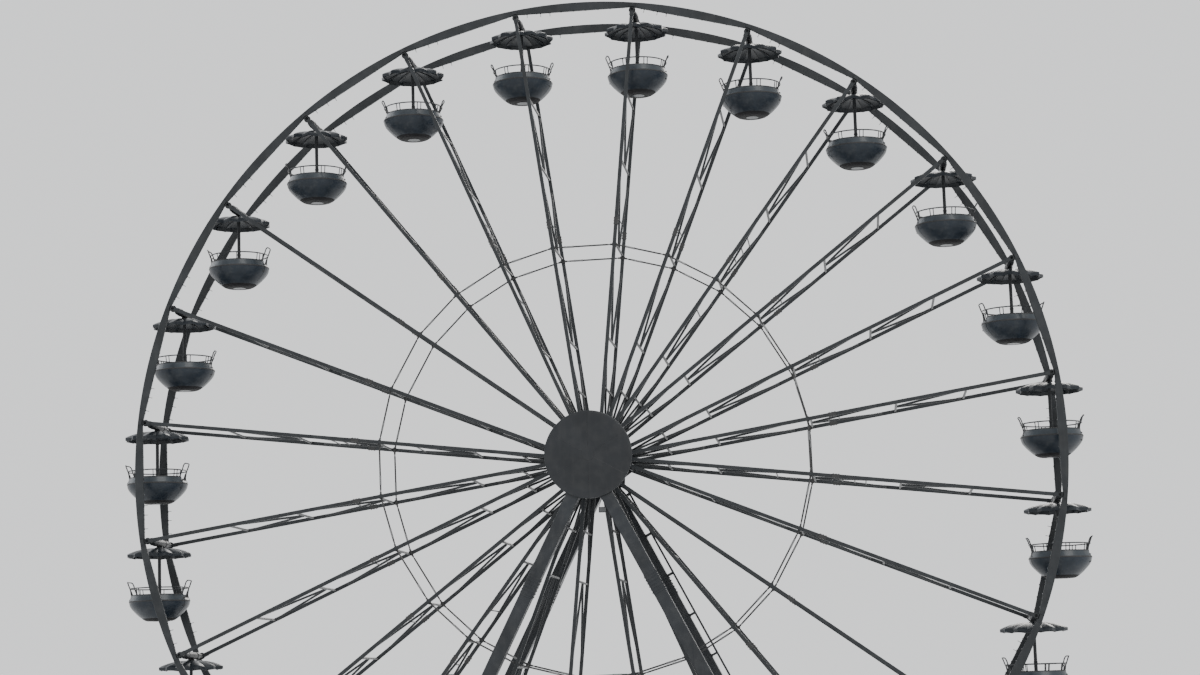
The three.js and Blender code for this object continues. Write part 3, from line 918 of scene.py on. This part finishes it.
# the sleeve round the cross tube, with its webs and the flange over the canopy
def hangerShape():
    shape = Shape()
    shape.place = Matrix.Rotation(-math.pi / 2, 4, "X")
    sleeve = [(0.064, -0.95), (0.084, -0.95), (0.092, -0.94), (0.117, -0.83), (0.12, -0.81), (0.12, 0.81),
              (0.117, 0.83), (0.092, 0.94), (0.084, 0.95), (0.064, 0.95)]
    shape.lathe(sleeve, 32, loop=True)
    for y in (-0.52, 0.52):
        band = [(0.118, y - 0.03), (0.129, y - 0.03), (0.129, y + 0.03), (0.118, y + 0.03)]
        shape.lathe(band, 32, loop=True)
    shape.place = Matrix()
    flange = cabinSizes["tipHeight"] + cabinSizes["crown"]
    shape.plate([(-0.40, -0.105), (0.40, -0.105), (0.12, flange), (-0.12, flange)], -0.008, 0.008, 0)
    shape.plate([(-0.085, -0.09), (0.085, -0.09), (0.12, flange), (-0.12, flange)], -0.008, 0.008, 1)
    shape.lathe([(0.15, flange - 0.011), (0.155, flange - 0.007), (0.155, flange),
                 (0.15, flange + 0.004)], 32)
    for a in turns(8):
        shape.bolt(radial(a, 0.138, flange + 0.004), up, 0.022)
    return shape


# post, handrail and the two door loops
def cabinRailShape():
    shape = Shape()
    sizes = cabinSizes
    shape.lathe([(0.13, -2.59), (0.13, -2.579), (0.088, -2.566), (0.068, -2.52), (0.06, -2.46),
                 (0.06, -1.50), (0.068, -1.49), (0.068, -1.45), (0.058, -1.44), (0.057, -1.42),
                 (0.057, -0.32), (0.06, -0.30), (0.115, -0.285), (0.115, -0.27), (0.06, -0.26),
                 (0.06, -0.12)], 24)
    for a in turns(6):
        shape.bolt(radial(a, 0.108, -2.573), up, 0.022)
    z = sizes["railHeight"]
    r = sizes["railRadius"]
    ends = sizes["doorHalf"] + 1.2
    for middle in (0, 180):
        angles = [math.radians(middle + ends + (180 - 2 * ends) * i / 28) for i in range(29)]
        foot = sizes["railFoot"]
        path = [radial(angles[0], foot, z - 0.25), radial(angles[0], r - 0.006, z - 0.03)]
        path += [radial(a, r, z) for a in angles]
        path += [radial(angles[-1], r - 0.006, z - 0.03), radial(angles[-1], foot, z - 0.25)]
        shape.tube(path, sizes["railTube"], 8)
        for pair in sizes["pairs"]:
            for side in (-1, 1):
                a = math.radians(middle + pair + side * sizes["pairGap"])
                foot = radial(a, sizes["railFoot"], -1.76)
                shape.rod(foot, radial(a, r, z), sizes["baluster"], 6)
                shape.rod(foot, foot + up * 0.022, 0.02, 8)
        addDoorLoop(shape, math.radians(middle))
    return shape


def addDoorLoop(shape, middle):
    sizes = cabinSizes
    line = sizes["loopLine"]
    foot = line[0][0]
    half = sizes["loopHalf"]
    top = sizes["loopTop"]

    # a point of the loop, which leans outwards above the rim
    def point(degrees, z):
        for (z0, r0), (z1, r1) in zip(line, line[1:]):
            if z <= z1 or z1 == line[-1][0]:
                return radial(middle + math.radians(degrees), r0 + (r1 - r0) * (z - z0) / (z1 - z0), z)

    corner = 6.0
    rise = 0.10
    side = [(-half, z) for z in (foot, -1.73, -1.66, -1.58, -1.46, top - rise)]
    side += [(-half + corner * (1 - math.cos(a)), top - rise + rise * math.sin(a))
             for a in (math.radians(t) for t in (30, 60, 90))]
    arch = side + [(d, top) for d in (-5, 0, 5)] + [(-d, z) for d, z in reversed(side)]
    shape.tube([point(d, z) for d, z in arch], sizes["railTube"], 8)
    z = sizes["railHeight"]
    shape.tube([point(d, z) for d in (-half, -10, -3, 3, 10, half)], sizes["railTube"] * 0.85, 8)
    shape.rod(point(8, z), point(half, z - 0.17), 0.010, 6)
    shape.rod(point(half - 1.5, z + 0.03), point(half + 3.5, z - 0.02), 0.018, 8)
    for d in (-half, half):
        for z in (foot + 0.02, foot + 0.09):
            lug = point(d, z)
            out = radial(middle + math.radians(d), 1.0)
            shape.rod(lug, lug + out * 0.04, 0.014, 6)


def makeCabins():
    tubPaints = [shellCoat, seatVinyl, floorPlate, bandCoat, linerCoat, rubber, underShadeCoat]
    kinds = [
        ("Tub", tubShape(), tubPaints, "cabin_shell", 40),
        ("Canopy", canopyShape(), [canopyCoat, cabinSteel], "cabin_shell", 30),
        ("Rails", cabinRailShape(), [cabinSteel], "wheel_steel", 34),
        ("Hanger", hangerShape(), [cabinSteel], "wheel_steel", 34),
    ]
    meshes = {}
    for i, (body, pivot) in enumerate(zip(cabinNames, pivots)):
        turn = cabinSizes["turns"][i]
        angles = {"Tub": turn, "Rails": turn, "Canopy": 0, "Hanger": 0}
        for kind, shape, paints, slot, smooth in kinds:
            place = Matrix.Translation(pivot) @ Matrix.Rotation(math.radians(angles[kind]), 4, "Z")
            name = "cabin%s%02d" % (kind, i + 1)
            if kind in meshes:
                piece = placed(name, meshes[kind], place)
            else:
                piece = shape.piece(name, paints, smooth)
                piece.matrix_world = place
                meshes[kind] = piece.data
            settle(piece, body, slot, *([body] if kind == "Tub" else []))


makeCabins()
print("cabins made")


# Towers
towerSizes = {
    "crossing": 0.23, "slope": 0.509, "width": 0.42, "edge": 0.018, "head": 0.62,
    "splices": (5.6, 10.2, 14.8), "spliceReach": 0.36, "spliceWidth": 0.34, "spliceSide": 0.30,
    "spliceRows": (-0.28, -0.17, -0.06, 0.06, 0.17, 0.28), "spliceBolt": 0.036,
    "bearing": 0.43, "bearingLength": 0.26, "bearingBolts": 12,
    "footLip": 0.12, "footPlate": 0.035, "footBolt": 0.046,
}


def legMiddle(side, z):
    return side * towerSizes["slope"] * (hub.z - towerSizes["crossing"] - z)


def makeTower(name, node):
    shape = Shape()
    sizes = towerSizes
    low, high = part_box(node)
    y0, y1 = low.y, high.y
    middle = (y0 + y1) / 2
    half = sizes["width"] / 2 * math.hypot(1, sizes["slope"])
    e = sizes["edge"]
    foot = low.z
    for leg in (-1, 1):
        rings = []
        for z in (foot, hub.z):
            x = legMiddle(leg, z)
            rings.append([(x + half, y0 + e, z), (x + half, y1 - e, z), (x + half - e, y1, z),
                          (x - half + e, y1, z), (x - half, y1 - e, z), (x - half, y0 + e, z),
                          (x - half + e, y0, z), (x + half - e, y0, z)])
        shape.skin(rings)
        along = Vector((legMiddle(leg, hub.z) - legMiddle(leg, foot), 0, hub.z - foot)).normalized()
        across = Vector((along.z, 0, -along.x))
        for z in sizes["splices"]:
            addSplice(shape, Vector((legMiddle(leg, z), middle, z)), along, across, y0, y1)
        addLegFoot(shape, Vector((legMiddle(leg, foot), middle, foot)), half, (y1 - y0) / 2)
    shape.place = Matrix.Translation((0, middle, hub.z)) @ Matrix.Rotation(-math.pi / 2, 4, "X")
    deep = (y1 - y0) / 2
    r = sizes["head"]
    shape.lathe([(r - 0.015, -deep), (r, -deep + 0.015), (r, deep - 0.015), (r - 0.015, deep)], 64)
    # bearing housing on the wheel's side
    inward = -1 if middle > 0 else 1
    b = sizes["bearing"]
    end = deep + sizes["bearingLength"]
    profile = [(b + 0.12, deep - 0.01), (b + 0.12, deep + 0.035), (b + 0.02, deep + 0.045), (b, deep + 0.08),
               (b, end - 0.03), (b - 0.03, end), (0.262, end)]
    shape.lathe([(radius, z * inward) for radius, z in profile][::inward], 48)
    for a in turns(sizes["bearingBolts"]):
        shape.bolt(radial(a, b + 0.07, inward * (deep + 0.038)), (0, 0, inward), 0.045)
    shape.place = Matrix()
    settle(shape.piece(name, [towerPaint]), "stand", "tower_steel", node)


# bolted plates on all four sides of a leg, round the joint of two lengths
def addSplice(shape, at, along, across, y0, y1):
    sizes = towerSizes
    reach = along * sizes["spliceReach"]
    for face in (y0, y1):
        way = -1 if face == y0 else 1
        spot = Vector((at.x, face + way * 0.007, at.z))
        shape.beam(spot - reach, spot + reach, across, sizes["spliceWidth"], 0.014, 0.003)
        for row in sizes["spliceRows"]:
            for column in (-0.12, -0.04, 0.04, 0.12):
                shape.bolt(spot + along * row + across * column + Vector((0, way * 0.007, 0)),
                           (0, way, 0), sizes["spliceBolt"])
    for way in (-1, 1):
        spot = at + across * way * (sizes["width"] / 2 + 0.006)
        shape.beam(spot - reach, spot + reach, (0, 1, 0), sizes["spliceSide"], 0.012, 0.003)
        for row in sizes["spliceRows"]:
            for column in (-0.09, 0.09):
                shape.bolt(spot + along * row + Vector((0, column, 0)) + across * way * 0.006,
                           across * way, sizes["spliceBolt"])
    lip = along * 0.004
    shape.beam(at - lip, at + lip, across, sizes["width"] + 0.012, y1 - y0 + 0.012)


def addLegFoot(shape, spot, half, deep):
    thick = towerSizes["footPlate"]
    reach = Vector((half + towerSizes["footLip"], deep, 0))
    shape.block(spot - reach, spot + reach + up * thick, 0.004)
    for way in (-1, 1):
        edge = spot.x + way * half
        for y in (-0.13, 0.13):
            shape.plate([(edge - way * 0.16, spot.z + thick), (edge + way * 0.11, spot.z + thick),
                         (edge + way * 0.09, spot.z + 0.07), (edge - way * 0.16, spot.z + 0.36)],
                        spot.y + y - 0.01, spot.y + y + 0.01)
        for y in (-0.17, 0.0, 0.17):
            shape.bolt((edge + way * 0.07, spot.y + y, spot.z + thick), up, towerSizes["footBolt"])


# Two stays behind the wheel, from the rear legs to the outriggers, with a turnbuckle near each foot
staySizes = {
    "wire": 0.012, "topX": 0.16, "topDrop": 1.5, "footX": 9.1, "footInset": 0.16, "socket": 0.022,
    "buckle": 0.034, "buckleLength": 0.42, "nut": 0.024, "nutLength": 0.06, "reach": 1.1,
}


def makeStays():
    shape = Shape()
    sizes = staySizes
    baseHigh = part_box("base_frame")[1]
    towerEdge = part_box("tower_rear")[1].y
    for way in (-1, 1):
        z = hub.z - sizes["topDrop"]
        top = Vector((way * (abs(legMiddle(1, z)) - sizes["topX"]), towerEdge + 0.02, z))
        foot = Vector((way * sizes["footX"], baseHigh.y - sizes["footInset"], baseHigh.z + 0.10))
        along = (foot - top).normalized()
        shape.paint = 0
        shape.rod(top + along * 0.1, foot - along * 0.1, sizes["wire"], 8)
        shape.paint = 1
        buckle = foot - along * sizes["reach"]
        length = sizes["buckleLength"]
        nut = sizes["nutLength"]
        shape.rod(buckle, buckle + along * length, sizes["buckle"], 8)
        shape.rod(buckle - along * nut, buckle, sizes["nut"], 6)
        shape.rod(buckle + along * length, buckle + along * (length + nut), sizes["nut"], 6)
        for end, grow in ((top, 1), (foot, -1)):
            shape.rod(end + along * grow * 0.02, end + along * grow * 0.17, sizes["socket"], 8)
        shape.paint = 2
        for end, low, high in ((foot, (0, 0.07, -0.10), (0, -0.02, 0.05)),
                               (top, (0, -0.06, 0), (0, 0.05, -0.01))):
            shape.beam(end + Vector(low), end + Vector(high), (1, 0, 0), 0.03, 0.14, 0.006)
    settle(shape.piece("towerStays", [rodSteel, galvanised, towerPaint]), "stand", "rod_steel")


# A ladder up the outer side of the rear right leg
ladderSizes = {"standOff": 0.21, "width": 0.40, "rung": 0.014, "pitch": 0.31, "bracketPitch": 1.55,
               "first": 0.99, "last": 19.59, "flat": 0.05}


def makeLadder():
    shape = Shape()
    sizes = ladderSizes
    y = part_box("tower_rear")[0].y / 2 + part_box("tower_rear")[1].y / 2
    lean = math.atan(towerSizes["slope"])
    shape.place = (Matrix.Translation((0, y, hub.z - towerSizes["crossing"]))
                   @ Matrix.Rotation(math.pi - lean, 4, "Y"))
    face = -towerSizes["width"] / 2
    out = face - sizes["standOff"]
    half = sizes["width"] / 2
    low = sizes["first"] - sizes["pitch"]
    high = sizes["last"] + sizes["pitch"]
    for side in (-1, 1):
        shape.beam((out, side * half, low), (out, side * half, high), (1, 0, 0), sizes["flat"], 0.018, 0.004)
    count = int(round((sizes["last"] - sizes["first"]) / sizes["pitch"]))
    for i in range(count + 1):
        z = sizes["first"] + i * sizes["pitch"]
        shape.rod((out, -half, z), (out, half, z), sizes["rung"], 8)
    brackets = int(round((sizes["last"] - sizes["first"]) / sizes["bracketPitch"]))
    for i in range(brackets + 1):
        z = sizes["first"] + i * sizes["bracketPitch"]
        for side in (-1, 1):
            y = side * (half - 0.014)
            shape.beam((out, y, z), (face, y, z), (0, 0, 1), 0.06, 0.012)
            shape.block((face - 0.012, side * half - 0.045, z - 0.06), (face, side * half + 0.045, z + 0.06))
            shape.bolt((face - 0.012, side * half, z), (-1, 0, 0), 0.03)
    shape.place = Matrix()
    settle(shape.piece("legLadder", [towerPaint]), "stand", "rod_steel", "leg_ladder")


makeTower("towerFront", "tower_front")
makeTower("towerRear", "tower_rear")
makeStays()
makeLadder()
print("towers, stays and ladder made")


# Base of plate girders
baseSizes = {
    "flange": 0.035, "web": 0.13, "stiffenerPitch": 1.18, "stiffener": 0.016, "long": 0.46,
    "outrigger": 0.56, "inner": 0.30, "outriggerX": 9.30, "innerX": 2.9, "capBolt": 0.042,
    "eye": 0.06, "eyeBar": 0.014,
}


def addGirder(shape, start, end, width, height):
    start, end = Vector(start), Vector(end)
    along = (end - start).normalized()
    across = along.cross(up)
    flange = baseSizes["flange"]
    web = width - 2 * baseSizes["web"]
    for low, high, wide in ((0, flange, width), (height - flange, height, width)):
        lift = up * (low + high) / 2
        shape.beam(start + lift, end + lift, across, wide, high - low, 0.005)
    lift = up * height / 2
    shape.beam(start + lift + along * 0.05, end + lift - along * 0.05, across, web, height - 2 * flange)
    length = (end - start).length
    count = max(2, round(length / baseSizes["stiffenerPitch"]))
    for i in range(count + 1):
        at = start + along * (0.012 + (length - 0.024) * i / count) + lift
        thick = along * baseSizes["stiffener"] / 2
        shape.beam(at - thick, at + thick, across, width - 0.02, height - 2 * flange)


def makeBase():
    shape = Shape()
    low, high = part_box("base_frame")
    sizes = baseSizes
    height = high.z
    towerY = (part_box("tower_rear")[0].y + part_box("tower_rear")[1].y) / 2
    for side in (-1, 1):
        addGirder(shape, (low.x, side * towerY, 0), (high.x, side * towerY, 0), sizes["long"], height)
        x = side * sizes["outriggerX"]
        addGirder(shape, (x, low.y, 0), (x, high.y, 0), sizes["outrigger"], height - 0.001)
        x = side * sizes["innerX"]
        addGirder(shape, (x, -towerY, 0), (x, towerY, 0), sizes["inner"], height - 0.002)
        for end in (-1, 1):
            # bolted caps where a long girder crosses an outrigger, and a lifting eye on each tip
            cap = Vector((side * sizes["outriggerX"], end * towerY, height))
            for x in (-0.24, 0.24):
                for y in (-0.42, -0.32, 0.32, 0.42):
                    shape.bolt(cap + Vector((x, y, 0)), up, sizes["capBolt"])
            eye = Vector((side * sizes["outriggerX"], end * (high.y - 0.45), height))
            r = sizes["eye"]
            ring = [eye + Vector((0, r * math.cos(a), 0.045 + r * math.sin(a))) for a in turns(16)]
            shape.tube(ring, sizes["eyeBar"], 8, loop=True)
    settle(shape.piece("baseGirders", [basePaint]), "stand", "base_steel", "base_frame")


# Boarding deck with two flights of steps
deckSizes = {
    "panelsX": 5, "panelsY": 4, "gap": 0.006, "sheet": 0.03, "frame": 0.12, "joist": 0.06,
    "joistHeight": 0.088, "edgeWidth": 0.06, "edgeHeight": 0.114, "stairs": (1.6, 4.6), "steps": 4,
    "tread": 0.30, "stringer": 0.05, "halfY": 4.7, "post": 0.12, "postFoot": 0.14, "postHead": 0.1,
    "rail": 0.021, "railHeight": 1.1, "railFoot": 0.055, "midRail": 0.54, "toeBoard": 0.13,
    "postPitch": 1.25, "passage": 1.75,
}


def makeDeck():
    shape = Shape()
    sizes = deckSizes
    low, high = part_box("boarding_platform")
    halfX, halfY, top = high.x, sizes["halfY"], high.z
    spanX = 2 * halfX / sizes["panelsX"]
    spanY = 2 * halfY / sizes["panelsY"]
    under = top - sizes["frame"]
    shape.paint = 1
    for i in range(sizes["panelsX"]):
        for j in range(sizes["panelsY"]):
            x = -halfX + i * spanX
            y = -halfY + j * spanY
            gap = sizes["gap"]
            shape.block((x + gap, y + gap, top - sizes["sheet"]),
                        (x + spanX - gap, y + spanY - gap, top), 0.004)
    shape.paint = 0
    z = under + 0.058
    for side in (-1, 1):
        wide, tall = sizes["edgeWidth"], sizes["edgeHeight"]
        x = side * (halfX - wide / 2)
        y = side * (halfY - wide / 2)
        shape.beam((-halfX, y, z), (halfX, y, z), (0, 1, 0), wide, tall, 0.005)
        shape.beam((x, -halfY, z), (x, halfY, z), (1, 0, 0), wide, tall, 0.005)
    for i in range(1, 10):
        x = -halfX + i * halfX / 5
        shape.beam((x, -halfY + 0.06, under + 0.045), (x, halfY - 0.06, under + 0.045), (1, 0, 0),
                   sizes["joist"], sizes["joistHeight"], 0.004)
    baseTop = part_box("base_frame")[1].z
    towerY = (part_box("tower_rear")[0].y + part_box("tower_rear")[1].y) / 2
    for side in (-1, 1):
        for y0, y1 in ((-0.1, -0.02), (0.02, 0.1)):
            shape.block((-halfX, side * towerY + y0, baseTop), (halfX, side * towerY + y1, under), 0.004)
        for x in (-halfX + 0.1, 0, halfX - 0.1):
            y = side * (halfY - 0.1)
            p = sizes["post"] / 2
            shape.block((x - p, y - p, 0.015), (x + p, y + p, under + 0.01), 0.006)
            f, h = sizes["postFoot"], sizes["postHead"]
            shape.block((x - f, y - f, 0), (x + f, y + f, 0.018), 0.003)
            shape.block((x - h, y - h, under - 0.014), (x + h, y + h, under))
    for side in (-1, 1):
        addStairs(shape, *sorted((side * sizes["stairs"][0], side * sizes["stairs"][1])), low.y, top)
    shape.paint = 0
    settle(shape.piece("boardingDeck", [galvanised, floorPlate]), "stand", "deck_plate", "boarding_platform")


def addStairs(shape, x0, x1, front, top):
    sizes = deckSizes
    riser = top / (sizes["steps"] + 1)
    back = -sizes["halfY"]
    shape.paint = 0
    for x in (x0, (x0 + x1) / 2, x1):
        a, b = (x, x + sizes["stringer"]) if x < x1 else (x - sizes["stringer"], x)
        shape.plate([(front, 0), (front, riser - 0.04), (back - 0.02, top - 0.04), (back, top - 0.04),
                     (back, top - 0.34), (front + 0.36, 0)], a, b, 0)
    shape.paint = 1
    for step in range(1, sizes["steps"] + 1):
        y = back - (sizes["steps"] + 1 - step) * sizes["tread"]
        z = step * riser
        shape.block((x0 + 0.004, y, z - 0.035), (x1 - 0.004, y + sizes["tread"] + 0.02, z), 0.006)
        shape.paint = 0
        shape.block((x0 + 0.004, y - 0.001, z - 0.05), (x1 - 0.004, y + 0.02, z - 0.034))
        shape.paint = 1
    shape.paint = 0


# tube handrails, left open at the steps and where the cabins pass
def makeRailings():
    shape = Shape()
    sizes = deckSizes
    low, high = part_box("boarding_platform")
    top = high.z
    x, y = high.x - 0.06, sizes["halfY"] - 0.06
    inner, outer = sizes["stairs"]
    runs = [((-x, y), (x, y)), ((-inner + 0.06, -y), (inner - 0.06, -y))]
    for side in (-1, 1):
        runs.append(((side * (outer - 0.04), -y), (side * x, -y)))
        runs.append(((side * x, -y), (side * x, -sizes["passage"])))
        runs.append(((side * x, sizes["passage"]), (side * x, y)))
    for start, end in runs:
        addRailRun(shape, Vector((*start, top)), Vector((*end, top)))
    for side in (-1, 1):
        for edge in (inner + 0.03, outer - 0.03):
            addStairRail(shape, side * edge, low.y + 0.08, -y, top)
    settle(shape.piece("deckRailings", [galvanised]), "stand", "rod_steel")


def addRailRun(shape, start, end):
    sizes = deckSizes
    along = end - start
    count = max(1, round(along.length / sizes["postPitch"]))
    height = sizes["railHeight"]
    for i in range(count + 1):
        foot = start + along * i / count
        shape.rod(foot, foot + up * height, sizes["rail"], 10)
        shape.rod(foot, foot + up * 0.012, sizes["railFoot"], 12)
    for share, radius in ((1.0, sizes["rail"]), (sizes["midRail"], sizes["rail"] * 0.8)):
        lift = up * height * share
        shape.rod(start + lift, end + lift, radius, 10)
    for point in (start, end):
        shape.dome(point + up * height, up, sizes["rail"], 0.015)
    shape.beam(start + up * 0.085, end + up * 0.085, up, sizes["toeBoard"], 0.006)


def addStairRail(shape, x, front, back, top):
    sizes = deckSizes
    height = sizes["railHeight"]
    low = Vector((x, front, 0.18))
    high = Vector((x, back, top))
    shape.rod(low, low + up * (height - 0.08), sizes["rail"], 10)
    shape.rod(high, high + up * height, sizes["rail"], 10)
    for share in (1.0, sizes["midRail"]):
        shape.rod(low + up * (height - 0.08) * share, high + up * height * share, sizes["rail"] * 0.9, 10)


makeBase()
makeDeck()
makeRailings()
print("base and deck made")


# A small floodlight on an inverted V bracket under the front tower head
floodSizes = {"x": 0.40, "drop": 1.72, "width": 0.26, "height": 0.17, "depth": 0.11, "legs": 0.13}


def makeFloodlight():
    shape = Shape()
    sizes = floodSizes
    low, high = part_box("tower_front")
    y = (low.y + high.y) / 2
    spot = Vector((sizes["x"], y, hub.z - sizes["drop"]))
    apex = spot + Vector((0, 0, 0.34))
    for way in (-1, 1):
        shape.beam(apex, spot + Vector((way * sizes["legs"], 0, 0)), (0, 1, 0), 0.05, 0.012, 0.002)
    anchor = Vector((legMiddle(1, apex.z + 0.2) - 0.3, y, apex.z + 0.2))
    shape.beam(apex - Vector((0.02, 0, 0)), anchor, (0, 1, 0), 0.05, 0.012, 0.002)
    w, h, d = sizes["width"] / 2, sizes["height"], sizes["depth"] / 2
    shape.block((spot.x - w, y - d, spot.z - h), (spot.x + w, y + d, spot.z + 0.01), 0.014)
    for i in range(5):
        x = spot.x - w + 0.045 + i * 0.042
        shape.block((x, y + d, spot.z - h + 0.02), (x + 0.006, y + d + 0.025, spot.z - 0.01))
    shape.paint = 1
    shape.block((spot.x - w + 0.02, y - d - 0.004, spot.z - h + 0.02),
                (spot.x + w - 0.02, y - d + 0.002, spot.z - 0.01), 0.002)
    settle(shape.piece("hubFloodlight", [cabinSteel, clearLens]), "stand", "tower_steel")


makeFloodlight()
print("floodlight made")


# Studio
studio = {
    "camera": (8.898, -81.992, 11.776), "tilt": 0.1378, "turn": 0.107, "lean": 1.8, "lens": 73.84,
    "backdrop": rgb(0.90, 0.91, 0.92), "backdropPower": 1.25,
    "suns": (((50, -70, 80), 1.5, 28.0, (1.0, 0.98, 0.95)), ((-80, 40, 60), 1.0, 40.0, (0.93, 0.96, 1.0)),
             ((20, 90, 50), 1.2, 30.0, (1.0, 0.97, 0.93))),
    "floorSize": 1500.0, "floorDrop": 0.002,
}


def makeStudio():
    scene = bpy.context.scene
    lensData = bpy.data.cameras.new("camera")
    lensData.lens = studio["lens"]
    lensData.sensor_width = 36.0
    lensData.clip_end = 1000.0
    aim = Matrix.Rotation(studio["turn"], 4, "Z") @ Matrix.Rotation(math.pi / 2 + studio["tilt"], 4, "X")
    # the whole view is turned a little about the axle
    leaned = Matrix.Translation(hub) @ Matrix.Rotation(math.radians(studio["lean"]), 4, "Y")
    view = leaned @ Matrix.Translation(Vector(studio["camera"]) - hub) @ aim
    scene.camera = placed("camera", lensData, view)
    world = bpy.data.worlds.new("studio")
    world.use_nodes = True
    background = world.node_tree.nodes["Background"]
    background.inputs["Color"].default_value = studio["backdrop"]
    background.inputs["Strength"].default_value = studio["backdropPower"]
    scene.world = world
    for i, (place, power, softness, colour) in enumerate(studio["suns"]):
        light = bpy.data.lights.new("softLight%d" % i, "SUN")
        light.energy = power
        light.angle = math.radians(softness)
        light.color = colour
        lamp = placed(light.name, light)
        lamp.rotation_euler = Vector(place).to_track_quat("Z", "Y").to_euler()
    floor = Shape()
    size = studio["floorSize"]
    drop = studio["floorDrop"]
    floor.add([(-size, -size, -drop), (size, -size, -drop), (size, size, -drop), (-size, size, -drop)],
              [(0, 1, 2, 3)])
    paint = Paint("studio floor", Metallic=0.0)
    cloud = paint.noise(0.05, 2)
    paint.set("Base Color", paint.mix(cloud, rgb(0.74, 0.745, 0.75), rgb(0.78, 0.785, 0.79)))
    paint.set("Roughness", cloud * 0.1 + 0.8)
    floor.piece("studioFloor", [paint.material])


makeStudio()
print("studio made")
